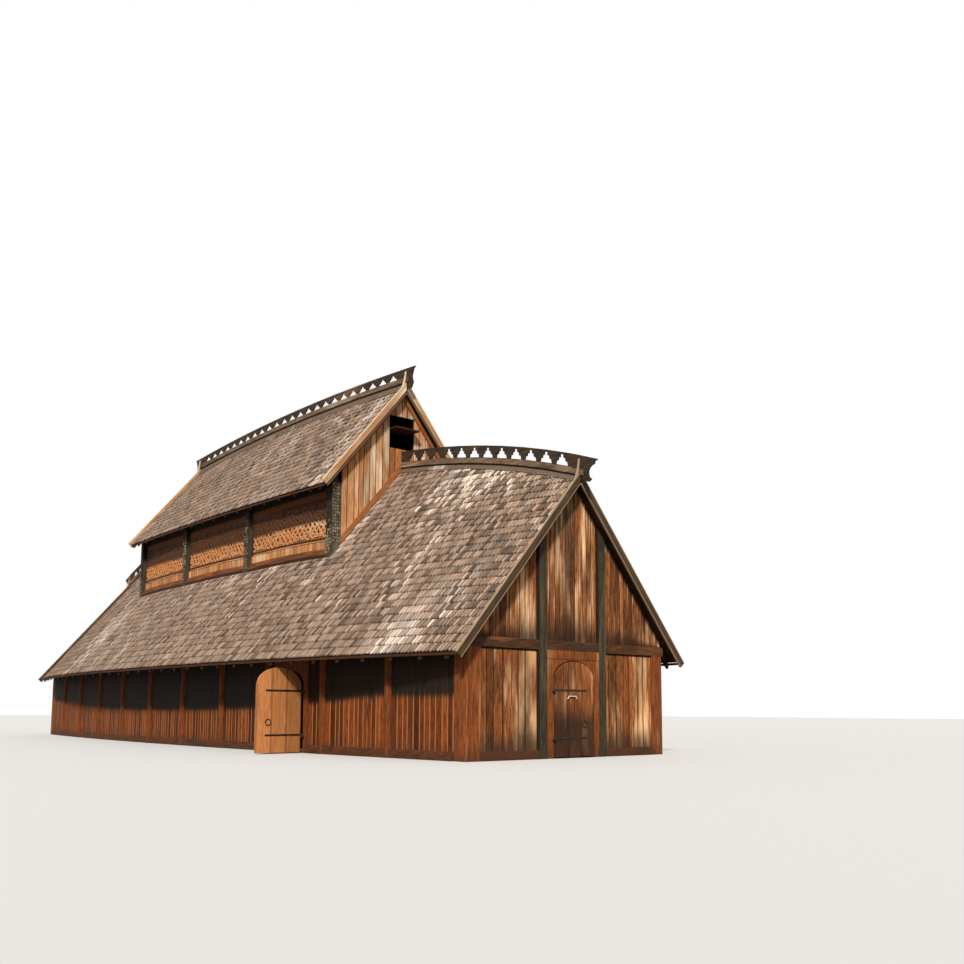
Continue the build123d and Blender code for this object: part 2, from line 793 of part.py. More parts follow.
def make_crests():
    keep("ridge_rails", both_y(both_x([NEAR_RAIL]) + [U_RAIL]))
    tip = finial(VERGE_X, CREST_PAST, ridge_z, CREST_FOOT, HEEL_PAST, CHIN_DOWN)
    near = crest_board(CLERE_X, VERGE_X, ridge_z, PITCH, CREST_FOOT, CREST_TOP_RAIL)
    keep("lower_crests", both_x([near + tip]))
    tip = finial(U_VERGE_X, U_CREST_PAST, u_ridge_z, U_CREST_FOOT, U_HEEL_PAST, U_CHIN_DOWN)
    middle = crest_board(-U_VERGE_X, U_VERGE_X, u_ridge_z, U_PITCH, U_CREST_FOOT, U_CREST_TOP_RAIL)
    keep("upper_crest", middle + tip + flip_x(tip))


# Main posts, beams and upper walls, made on the +Y side


def u_plate_z(x):
    return u_under_z(x, clere_y(x)) - U_PLATE_LIP


def foot_z(x):
    """Top of the beam under the upper wall."""
    return deck_z(x, clere_y(x)) + FOOT_BEAM_UP


def foot_low(x):
    return under_z(x, clere_y(x)) - FOOT_BEAM_DOWN


def main_posts():
    """Posts from the ground to the upper plates."""
    def section(a):
        return box_section(clere_y(a) - MAIN_W, clere_y(a), 0, u_plate_z(a))

    return both_x([run(x - MAIN_D / 2, x + MAIN_D / 2, section, [x]) for x in MAIN_X])


END_EDGES = (END_POST_Y - END_POST_W / 2, END_POST_Y + END_POST_W / 2)


def end_posts():
    def section(a):
        y0, y1 = END_EDGES
        return [(y0, 0), (y1, 0), (y1, under_z(a, y1)), (y0, under_z(a, y0))]

    return both_x([run(END_POST_X - END_POST_W / 2, END_POST_X + END_POST_W / 2, section)])


def post_beam(x, z):
    """Beam across the house between a pair of main posts."""
    def section(a):
        reach = clere_y(a) - MAIN_W
        return box_section(-reach, reach, z, z + BEAM_H)

    return run(x - BEAM_W / 2, x + BEAM_W / 2, section, [x])


def cross_beams():
    """Beams from post to post across the house, low and high."""
    low = foot_low(MAIN_INNER) - BEAM_DROP - BEAM_H
    high = u_plate_z(MAIN_INNER) - U_BEAM_DROP - BEAM_H
    beams = [post_beam(x, z) for x in MAIN_X for z in (low, high)]
    top = under_z(END_POST_X, END_EDGES[1]) - END_BEAM_DROP
    x0 = END_POST_X - BEAM_W / 2
    beams.append(block(x0, x0 + BEAM_W, -END_EDGES[0], END_EDGES[0], top - BEAM_H, top))
    return both_x(beams)


def upper_bays():
    """Clear lengths between the main posts."""
    half = MAIN_D / 2
    inner, outer = MAIN_X
    return [(-outer + half, -inner - half), (-inner + half, inner - half), (inner + half, outer - half)]


def foot_beam_section(x):
    return box_section(clere_y(x) - FOOT_BEAM_W, clere_y(x), foot_low(x), foot_z(x))


def panel_section(x):
    face = clere_y(x) - PANEL_BACK
    return box_section(face - PANEL_T, face, foot_z(x), u_plate_z(x))


def sill_board_section(x):
    face = clere_y(x) - PANEL_BACK
    z = foot_z(x)
    return [(face, z), (clere_y(x), z), (clere_y(x), z + SILLBOARD_LIP), (face, z + SILLBOARD_V)]


def along_bays(section):
    """The same section between every two main posts, on both sides of the house."""
    return both_y([run(a, b, section) for a, b in upper_bays()])


def upper_plate():
    def section(x):
        y0 = clere_y(x) - U_PLATE_W
        y1 = clere_y(x)
        z = u_plate_z(x)
        return [(y0, z), (y1, z), (y1, u_under_z(x, y1)), (y0, u_under_z(x, y0))]

    return run(-CLERE_X, CLERE_X, section, [-MAIN_INNER, MAIN_INNER])


def upper_gable():
    """Boards of an upper gable between its corner posts, with the smoke opening."""
    x0 = CLERE_X - U_WALL_T
    side = CLERE_END - MAIN_W
    low = [(y, deck_foot(CLERE_X, y)) for y in (-side, 0, side)]
    high = [(y, u_deck_foot(CLERE_X, y)) for y in (side, 0, -side)]
    wall = slab(low + high, x0, CLERE_X)
    top = u_ridge_z(CLERE_X) - SMOKE_DOWN
    return wall - block(x0 - U_WALL_T, CLERE_X + U_WALL_T, -SMOKE_Y, SMOKE_Y, top - SMOKE_V, top)


def raking_board():
    """Board on the lower roof along the foot of an upper gable."""
    def section(a):
        y0 = RAIL_W
        y1 = CLERE_END - MAIN_W
        return [(y0, deck_z(a, y0)), (y1, deck_z(a, y1)), (y1, deck_z(a, y1) + RAKE_V), (y0, deck_z(a, y0) + RAKE_V)]

    return run(CLERE_X, CLERE_X + RAKE_T, section)


def gable_batten():
    """Pair of battens that follow the upper roof across the top of an upper gable."""
    def section(a):
        side = CLERE_END - MAIN_W
        top = [(y, u_deck_foot(a, y) - BATTEN_DOWN) for y in (-side, 0, side)]
        return top + [(y, z - BATTEN_V) for y, z in reversed(top)]

    return run(CLERE_X, CLERE_X + BATTEN_T, section)


def upper_deck():
    def section(x):
        return under_slope(x, 0, u_eave_y(x), u_deck_z, U_DECK_V)

    return run(-U_VERGE_X, U_VERGE_X, section)


def upper_rafters():
    def section(x):
        return under_slope(x, 0, u_eave_y(x) - U_RAFTER_SHORT, u_deck_foot, U_RAFTER_V)

    half = RAFTER_W / 2
    last = CLERE_X - U_WALL_T - half
    bay = STATIONS[3] - STATIONS[2]
    xs = [max(-last, min(last, s)) for s in STATIONS if abs(s) < CLERE_X + bay]
    return [run(x - half, x + half, section) for x in xs]


def smoke_hatch():
    """Flap of a smoke opening, standing open level."""
    z = u_ridge_z(CLERE_X) - SMOKE_DOWN - SMOKE_V + HATCH_UP
    return block(CLERE_X - U_WALL_T - HATCH_OUT, CLERE_X + HATCH_OUT, -SMOKE_Y, SMOKE_Y, z, z + HATCH_T)


def make_upper_house():
    keep("main_posts", both_y(main_posts()))
    keep("end_bay_posts", both_y(end_posts()))
    keep("cross_beams", cross_beams())
    keep("foot_beams", along_bays(foot_beam_section))
    keep("carved_panels", along_bays(panel_section))
    keep("panel_sills", along_bays(sill_board_section))
    keep("upper_plates", both_y([upper_plate()]))
    deck = upper_deck()
    keep("back_upper_roof", deck)
    keep("front_upper_roof", flip_y(deck))
    ribs = upper_rafters()
    keep("back_upper_rafters", ribs)
    keep("front_upper_rafters", [flip_y(r) for r in ribs])
    keep("upper_gable_walls", both_x([upper_gable()]))
    keep("raking_boards", both_x(both_y([raking_board()]) + [gable_batten()]))
    keep("smoke_hatches", both_x([smoke_hatch()]))
    tip = U_EAVE_END + U_BARGE_PAST
    board = bargeboard(U_VERGE_X, u_ridge_z(U_VERGE_X), U_PITCH, tip, U_BARGE_V)
    keep("upper_bargeboards", both_x(both_y([board - U_RAIL])))


def make_doors():
    keep("side_door_leaf", place_side(door_leaf(SIDE_SPRING), 90))
    keep("side_door_irons", [place_side(s, 90) for s in door_irons()])
    keep("side_door_pins", [place_side(s) for s in door_pins()])
    keep("gable_door_leaf", place_gable(door_leaf(GABLE_SPRING)))
    keep("gable_door_irons", [place_gable(s) for s in door_irons()])
    keep("gable_door_pins", [place_gable(s) for s in door_pins()])
    keep("gable_door_handle", place_gable(door_handle()))


def main():
    make_long_walls()
    make_gables()
    make_lower_roof()
    make_crests()
    make_upper_house()
    make_doors()
    for name, solids in NODES.items():
        shape = solids[0] if len(solids) == 1 else Compound(children=solids)
        export_step(shape, "parts/" + name + ".step")
    print(len(NODES), "nodes; side door pin at", [round(v, 3) for v in side_pin()])
    print("tie beam", round(TIE_Z, 1), "springing", round(SIDE_SPRING, 1), round(GABLE_SPRING, 1))


main()
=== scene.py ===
# %% [markdown]
# # A timber hall with bowed walls, dressed board by board
# The solids of the hall come from a CAD frame that already has its size, its roof form, its
# doors and its carvings' outlines. This notebook adds what a carpenter adds last: shingles,
# boards, carving, nails and the colour of old wood. Everything is in metres. X runs along the
# hall towards the gable with the door, the side door is on the -Y side, and Z is up.

# %% load the frame
import bpy
import math
import numpy as np
from mathutils import Matrix, Vector


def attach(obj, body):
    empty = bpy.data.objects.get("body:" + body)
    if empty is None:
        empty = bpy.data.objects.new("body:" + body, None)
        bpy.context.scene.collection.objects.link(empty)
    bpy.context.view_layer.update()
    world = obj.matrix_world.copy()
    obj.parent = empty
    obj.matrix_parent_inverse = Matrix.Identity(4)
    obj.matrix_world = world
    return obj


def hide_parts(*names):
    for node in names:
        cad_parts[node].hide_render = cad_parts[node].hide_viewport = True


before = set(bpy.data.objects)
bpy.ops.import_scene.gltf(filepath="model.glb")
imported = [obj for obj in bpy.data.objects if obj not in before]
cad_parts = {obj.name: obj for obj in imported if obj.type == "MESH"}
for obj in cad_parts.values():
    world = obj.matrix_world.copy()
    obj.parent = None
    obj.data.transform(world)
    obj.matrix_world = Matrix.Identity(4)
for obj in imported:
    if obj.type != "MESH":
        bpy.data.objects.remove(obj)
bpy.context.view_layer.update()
rng = np.random.default_rng(11)

# %% [markdown]
# ## From arrays to meshes
# A board or a shingle is a closed shape with a handful of corners, and the hall has thousands
# of them. One copy could be placed as an object of its own, but then the file would hold
# thousands of objects. Here all copies of a kind are one array of corners, which is bent over
# the building by a formula and put into one mesh at once.

# %% mesh helper


finish = {}         # every material, by its name


def make_piece(name, points, faces, body, look, replaces=(), own=None):
    """Mesh object from corner points (n, 3) and a list of faces, in the finish that look names. Own
    holds three numbers for every point: its place across its board (-1 to 1), its share of the
    height and the board's tone."""
    mesh = bpy.data.meshes.new(name)
    mesh.from_pydata(np.asarray(points, float).tolist(), [], faces)
    if own is not None:
        attribute = mesh.attributes.new("own", "FLOAT_VECTOR", "POINT")
        attribute.data.foreach_set("vector", np.asarray(own, np.float32).ravel())
    mesh.update()
    mesh.materials.append(finish[look])
    piece = bpy.data.objects.new(name, mesh)
    bpy.context.scene.collection.objects.link(piece)
    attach(piece, body)
    if replaces:
        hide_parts(*replaces)
    print(f"{name}: {sum(len(f) - 2 for f in faces)} triangles")
    return piece


def volumes(template, shapes):
    """Volume of each copy of a shape: every face is cut into triangles from its first corner, and
    each triangle adds its corners' triple product. It is negative where the faces look inwards."""
    fans = np.array([(f[0], f[i], f[i + 1]) for f in template for i in range(1, len(f) - 1)])
    corners = (shapes - shapes.mean(axis=1, keepdims=True))[:, fans]
    return np.einsum("nti,nti->n", corners[:, :, 0], np.cross(corners[:, :, 1], corners[:, :, 2]))


def repeat(template, shapes):
    """Points and faces of many copies of one shape, whose corners are (copies, corners, 3). Faces
    are the template's indices, moved on by the corners of the copies before, and are turned
    round in the copies that would otherwise look inwards."""
    turned = [f[::-1] for f in template]
    shift = (np.arange(len(shapes)) * shapes.shape[1]).tolist()
    faces = [tuple(i + s for i in face) for s, inside in zip(shift, volumes(template, shapes) < 0)
             for face in (turned if inside else template)]
    return shapes.reshape(-1, 3), faces


def face_out(points, faces):
    """Faces of one closed shape, turned round if they would look inwards."""
    return [f[::-1] for f in faces] if volumes(faces, points[None])[0] < 0 else faces


# %% [markdown]
# ## The bowed roof as two formulas
# Seen from above, each eave is a bow: it lies furthest out at the middle and draws in towards
# the gables. The pitch is the same everywhere, so the ridge sinks where the eaves draw in. A
# point of the roof is then given by three numbers: its place along the hall, its distance up
# the slope from the eave, and its height over the surface of the slope.

# %% eaves, walls and slopes
GABLE, VERGE = 15.5, 15.82
BAYS = 11
roof_knots = np.concatenate(([-VERGE], np.linspace(-GABLE, GABLE, 3 * BAYS + 1), [VERGE]))
wall_knots = np.linspace(-GABLE, GABLE, BAYS + 1)
UPPER_GABLE, UPPER_VERGE = 7.7, 7.89
INNER_POST, END_POST = 2.566, 7.55       # middle lines of the main posts along the hall
inner_knots = [k for k in roof_knots if abs(k) < UPPER_GABLE]
upper_knots = np.array([-UPPER_VERGE] + inner_knots + [UPPER_VERGE])
EAVE_Z = 2.625
SLOPE = math.radians(49.667)
UPPER_SLOPE = math.radians(50.289)


def eave_y(x):
    """Half width of the lower roof: 5.816 m less a bow of 1.769 m, seven tenths of it with the
    square of the place along the hall and three tenths with its fourth power."""
    share = (roof_knots / VERGE) ** 2
    return np.interp(x, roof_knots, 5.816 - 1.769 * (0.7 * share + 0.3 * share ** 2))


def wall_y(x):
    """Half width of the walls: 4.51 m less 0.91 m with the square of the place along the hall."""
    return np.interp(x, wall_knots, 4.51 - 0.91 * (wall_knots / GABLE) ** 2)


def post_y(x):
    """Outer face of the main posts, straight between the posts."""
    inner = 2.972 - 0.325 * (INNER_POST / UPPER_GABLE) ** 2
    return np.interp(np.abs(x), [0, INNER_POST, UPPER_GABLE], [inner, inner, 2.647])


def roof_z(x, y):
    """Height of the lower roof over a point of the plan."""
    return EAVE_Z + math.tan(SLOPE) * (eave_y(x) - np.abs(y))


UPPER_EAVE_Z = float(roof_z(0.0, 2.972)) + 2.23


def upper_eave_y(x):
    """Half width of the middle roof: 3.264 m less 0.204 m with the square of the place."""
    return np.interp(x, upper_knots, 3.264 - 0.204 * (upper_knots / UPPER_VERGE) ** 2)


PANEL_SEAT, PANEL_HEAD = 0.035, 0.376    # room over the lower roof and under the upper eave's line


def panel_low(x):
    """Foot of the upper wall's panels, just over the lower roof."""
    return roof_z(x, post_y(x)) + PANEL_SEAT


def panel_high(x):
    """Head of the panels, under the eave of the middle roof."""
    return UPPER_EAVE_Z + math.tan(UPPER_SLOPE) * (upper_eave_y(x) - post_y(x)) - PANEL_HEAD


def on_slope(x, up, over, side, upper=False):
    """Point of a roof from its place along the hall, its distance up the slope and its height
    over the slope, measured square to it. Side is -1 for the front and +1 for the back."""
    angle = UPPER_SLOPE if upper else SLOPE
    eave = upper_eave_y(x) if upper else eave_y(x)
    z = UPPER_EAVE_Z if upper else EAVE_Z
    y = eave - up * math.cos(angle) + over * math.sin(angle)
    return np.stack([x, side * y, z + up * math.sin(angle) + over * math.cos(angle)], -1)


print("ridge at the middle:", round(float(roof_z(0.0, 0.0)), 3), "upper eave:", round(UPPER_EAVE_Z, 3))

# %% [markdown]
# ## The camera
# The picture was taken from eye height in front of the near corner. A lens shift keeps the
# walls nearly upright while the hall sits low in the frame, as it does when a level picture
# is cropped. The numbers were worked out from the corners of the building.

# %% camera
FOCAL_PX, FRAME_PX, SHIFT_PX = 990.26, 964.0, 115.57
EYE = (33.855, -18.678, 1.230)
yaw, pitch, roll = 0.8676, 0.1129, 0.0039
camera_data = bpy.data.cameras.new("camera")
camera = bpy.data.objects.new("camera", camera_data)
bpy.context.scene.collection.objects.link(camera)
forward = Vector((-math.sin(yaw) * math.cos(pitch), math.cos(yaw) * math.cos(pitch), math.sin(pitch)))
aside = Vector((math.cos(yaw), math.sin(yaw), 0))
upwards = aside.cross(forward)
right = aside * math.cos(roll) + upwards * math.sin(roll)
above = upwards * math.cos(roll) - aside * math.sin(roll)
camera.matrix_world = Matrix.Translation(EYE) @ Matrix(
    (right, above, -forward)).transposed().to_4x4()
camera_data.sensor_width = 36.0
camera_data.lens = FOCAL_PX / FRAME_PX * camera_data.sensor_width
camera_data.shift_y = SHIFT_PX / FRAME_PX
camera_data.clip_end = 400.0
bpy.context.scene.camera = camera
print("lens:", round(camera_data.lens, 2), "mm")

# %% [markdown]
# ## A helper for shader nodes
# Light, floor and every timber are made of shader nodes. Written out, each node takes a line to
# add, a line for each number and a line for each link, so a small class does these steps. A
# number or a colour is set on the socket, and another node's output is linked to it.

# %% node helper


class Recipe:
    """Adds nodes to a tree, sets their values and links them."""

    def __init__(self, tree):
        self.tree = tree

    def add(self, kind, **settings):
        node = self.tree.nodes.new(kind)
        for key, value in settings.items():
            setattr(node, key, value)
        return node

    def link(self, out, into):
        self.tree.links.new(out, into)

    def feed(self, value, socket):
        """Sets a number or a colour on a socket, or links another node's output to it."""
        if isinstance(value, (int, float)):
            socket.default_value = value
        elif isinstance(value, tuple):
            socket.default_value = (*value, 1) if len(socket.default_value) == 4 else value
        else:
            self.link(value, socket)

    def math(self, operation, *values, clamp=False):
        node = self.add("ShaderNodeMath", operation=operation, use_clamp=clamp)
        for value, socket in zip(values, node.inputs):
            self.feed(value, socket)
        return node.outputs[0]

    def vector(self, operation, *values, scale=None):
        node = self.add("ShaderNodeVectorMath", operation=operation)
        for value, socket in zip(values, node.inputs):
            self.feed(value, socket)
        if scale is not None:
            self.feed(scale, node.inputs["Scale"])
        return node.outputs[0]

    def parts(self, vector):
        node = self.add("ShaderNodeSeparateXYZ")
        self.link(vector, node.inputs[0])
        return node.outputs

    def joined(self, x, y, z):
        node = self.add("ShaderNodeCombineXYZ")
        for value, socket in zip((x, y, z), node.inputs):
            self.feed(value, socket)
        return node.outputs[0]

    def mix(self, factor, a, b):
        """Colour a where the factor is 0, colour b where it is 1."""
        node = self.add("ShaderNodeMix", data_type="RGBA")
        for value, place in ((factor, 0), (a, 6), (b, 7)):
            self.feed(value, node.inputs[place])
        return node.outputs[2]

    def blend(self, a, b, share):
        """Share times a plus the rest of the share times b."""
        return self.math("ADD", self.math("MULTIPLY", a, share), self.math("MULTIPLY", b, 1 - share))

    def noise(self, vector, scale, detail=3.0, rough=0.55):
        node = self.add("ShaderNodeTexNoise")
        for value, label in ((vector, "Vector"), (scale, "Scale"), (detail, "Detail"),
                             (rough, "Roughness")):
            self.feed(value, node.inputs[label])
        return node.outputs["Fac"]

    def ramp(self, value, low, high, to_low=0.0, to_high=1.0):
        """Goes in a smooth S from to_low to to_high while the value goes from low to high."""
        node = self.add("ShaderNodeMapRange", interpolation_type="SMOOTHSTEP")
        for number, label in ((value, "Value"), (low, "From Min"), (high, "From Max"),
                              (to_low, "To Min"), (to_high, "To Max")):
            self.feed(number, node.inputs[label])
        return node.outputs[0]

    def bump(self, height, strength, distance):
        node = self.add("ShaderNodeBump")
        for value, label in ((height, "Height"), (strength, "Strength"), (distance, "Distance")):
            self.feed(value, node.inputs[label])
        return node.outputs[0]

    def use(self, group, **values):
        node = self.add("ShaderNodeGroup", node_tree=group)
        for label, value in values.items():
            self.feed(value, node.inputs[label])
        return node.outputs


# %% [markdown]
# ## Light and floor
# The daylight came from behind the camera's left shoulder, from about 38 degrees over the
# horizon, which the slanting edge of the eave's shadow on the open door gives. One soft sun
# in that direction and a pale sky are enough. The sky is plain white where the camera, a
# reflection or a ray through glass looks at it, and softer where it lights the hall. The floor
# is pale to the camera but throws light back like trodden ground, so the eaves stay dark.

# %% light
SUN_FROM, SUN_LIGHT, SKY_LIGHT = (0.546, -0.563, 0.619), 3.6, 0.30
sun_data = bpy.data.lights.new("sun", "SUN")
sun_data.energy = SUN_LIGHT
sun_data.angle = math.radians(7)
sun_data.color = (1.0, 0.975, 0.94)
sun = bpy.data.objects.new("sun", sun_data)
sun.rotation_euler = Vector(SUN_FROM).to_track_quat("Z", "Y").to_euler()
bpy.context.scene.collection.objects.link(sun)

world = bpy.data.worlds.new("sky")
bpy.context.scene.world = world
world.use_nodes = True
world.node_tree.nodes.clear()
r = Recipe(world.node_tree)
paths = r.add("ShaderNodeLightPath").outputs
seen = r.math("MAXIMUM", r.math("MAXIMUM", paths["Is Camera Ray"], paths["Is Glossy Ray"]),
              paths["Is Transmission Ray"])
backdrop = r.add("ShaderNodeBackground")
backdrop.inputs["Color"].default_value = (1, 1, 1, 1)
r.link(r.ramp(seen, 0.0, 1.0, SKY_LIGHT, 1.0), backdrop.inputs["Strength"])
r.link(backdrop.outputs[0], r.add("ShaderNodeOutputWorld").inputs["Surface"])
bpy.context.scene.view_settings.view_transform = "Standard"

# %% floor
floor_mesh = bpy.data.meshes.new("floor")
corners = [(-150, -150), (150, -150), (150, 150), (-150, 150)]
floor_mesh.from_pydata([(x, y, -0.002) for x, y in corners], [], [(0, 1, 2, 3)])
floor = bpy.data.objects.new("floor", floor_mesh)
bpy.context.scene.collection.objects.link(floor)
floor_finish = bpy.data.materials.new("pale_floor")
floor_finish.use_nodes = True
floor_shader = floor_finish.node_tree.nodes["Principled BSDF"]
r = Recipe(floor_finish.node_tree)
camera_ray = r.add("ShaderNodeLightPath").outputs["Is Camera Ray"]
r.link(r.mix(camera_ray, (0.26, 0.25, 0.22), (0.80, 0.79, 0.77)), floor_shader.inputs["Base Color"])
floor_shader.inputs["Roughness"].default_value = 0.9
floor_mesh.materials.append(floor_finish)

# %% [markdown]
# ## Wood as shader groups
# All surfaces here are timber, but each has aged in its own way. Three effects come back in
# most of them, so each is a node group that is built once: the grain, which is noise
# stretched along the length of the wood; the weather, which bleaches some patches and darkens
# others; and the soil, which gathers near the ground. Each material sets its own values.

# %% group tools
def new_group(name, inputs, outputs):
    """Empty shader group with named inputs (name, kind, default) and outputs (name, kind)."""
    group = bpy.data.node_groups.new(name, "ShaderNodeTree")
    for label, kind, value in inputs:
        socket = group.interface.new_socket(label, in_out="INPUT", socket_type="NodeSocket" + kind)
        if value is not None:
            socket.default_value = value
    for label, kind in outputs:
        group.interface.new_socket(label, in_out="OUTPUT", socket_type="NodeSocket" + kind)
    recipe = Recipe(group)
    return group, recipe, recipe.add("NodeGroupInput").outputs, recipe.add("NodeGroupOutput").inputs


# %% [markdown]
# ### Grain
# The grain is fine noise on coordinates squeezed across the wood, so that it runs in long
# streaks along it. Two sizes are mixed: the rings that show as broad streaks, and the fibres.

# %% grain
grain_group, r, given, result = new_group(
    "wood_grain", [("Along", "Vector", None), ("Width", "Float", 0.06)],
    [("Streaks", "Float"), ("Fibres", "Float"), ("Height", "Float")])
squeezed = r.vector("SCALE", given["Along"], scale=r.math("DIVIDE", 1.0, given["Width"]))
streaks = r.noise(squeezed, 1.0, 3.0, 0.6)
fibres = r.noise(squeezed, 6.0, 2.0, 0.5)
r.link(r.ramp(streaks, 0.36, 0.64), result["Streaks"])
r.link(r.ramp(fibres, 0.36, 0.66), result["Fibres"])
r.link(r.blend(streaks, fibres, 0.6), result["Height"])

# %% [markdown]
# ### Weather
# Sun and rain act in patches longer than they are wide. One large noise picks the patches, a
# streaked one breaks up their edges, and both together give how far the wood is bleached.
# Another pair gives the dark stains.

# %% weather


def over_limit(r, value, amount, steep):
    """How far a noise passes a limit, which sinks from 0.70 to 0.25 as the amount asked for goes
    from 0 to 1. The rest is made steeper and cut off at 0 and 1."""
    limit = r.math("ADD", 0.25, r.math("MULTIPLY", r.math("SUBTRACT", 1.0, amount), 0.45))
    return r.math("MULTIPLY", r.math("SUBTRACT", value, limit), steep, clamp=True)


weather_group, r, given, result = new_group(
    "weather", [("Along", "Vector", None), ("Patch", "Vector", None), ("Size", "Float", 1.0),
                ("Bleach", "Float", 0.5), ("Stain", "Float", 0.5)],
    [("Bleached", "Float"), ("Stained", "Float")])
scaled = r.vector("SCALE", given["Patch"], scale=r.math("DIVIDE", 1.0, given["Size"]))
patches = r.noise(scaled, 1.0, 2.0, 0.5)
broken = r.noise(given["Along"], 9.0, 4.0, 0.65)
r.link(over_limit(r, r.blend(patches, broken, 0.55), given["Bleach"], 7.0), result["Bleached"])
dark_patches = r.noise(r.vector("ADD", scaled, (31.7, 12.3, 5.1)), 1.7, 3.0, 0.6)
r.link(over_limit(r, r.blend(dark_patches, broken, 0.6), given["Stain"], 6.0), result["Stained"])

# %% [markdown]
# ### Soil
# Rain splashes earth against the foot of the walls, so the lowest half metre is darker.

# %% soil
soil_group, r, given, result = new_group("soil", [("Height", "Float", 0.5)], [("Soiled", "Float")])
place = r.add("ShaderNodeTexCoord").outputs["Object"]
splash = r.math("MULTIPLY", r.noise(place, 5.0, 3.0), 0.5)
rise = r.math("DIVIDE", r.parts(place)["Z"], given["Height"])
r.link(r.math("SUBTRACT", 1.1, r.math("ADD", rise, splash), clamp=True), result["Soiled"])
print("groups:", [g.name for g in bpy.data.node_groups])

# %% [markdown]
# ## Timber materials
# One function mixes a timber: a base colour between a dark and a light tone along the grain,
# the tone of each board or shingle as its own shift, then bleach, stain and soil. The grain
# runs along Z on upright boards, along X on plates and rails, and up the slope on the roof,
# so the coordinates are squeezed along another axis for each.

# %% timber function
GRAIN = {"upright": (1, 1, 0.06), "long": (0.06, 1, 1), "across": (1, 0.06, 1)}
SLOPE_TILT, UPPER_TILT = math.degrees(SLOPE) - 90, math.degrees(UPPER_SLOPE) - 90
JOINT_AND_SHADE_BLACK = (0.008, 0.006, 0.004)         # the black of open joints and of deep shade


def folded_coordinates(r, coordinates, tilt):
    """Coordinates in which both slopes fall together, turned about X so that Z runs up the slope;
    also the height over a roof line, z + |y| times the roof's pitch."""
    x, y, z = r.parts(coordinates)
    beside = r.math("ABSOLUTE", y)
    turned = r.add("ShaderNodeMapping", vector_type="POINT")
    turned.inputs["Rotation"].default_value = (math.radians(tilt), 0, 0)
    r.link(r.joined(x, beside, z), turned.inputs[0])
    pitch_of_roof = math.tan(math.radians(90 + tilt))
    return turned.outputs[0], r.math("ADD", z, r.math("MULTIPLY", beside, pitch_of_roof))


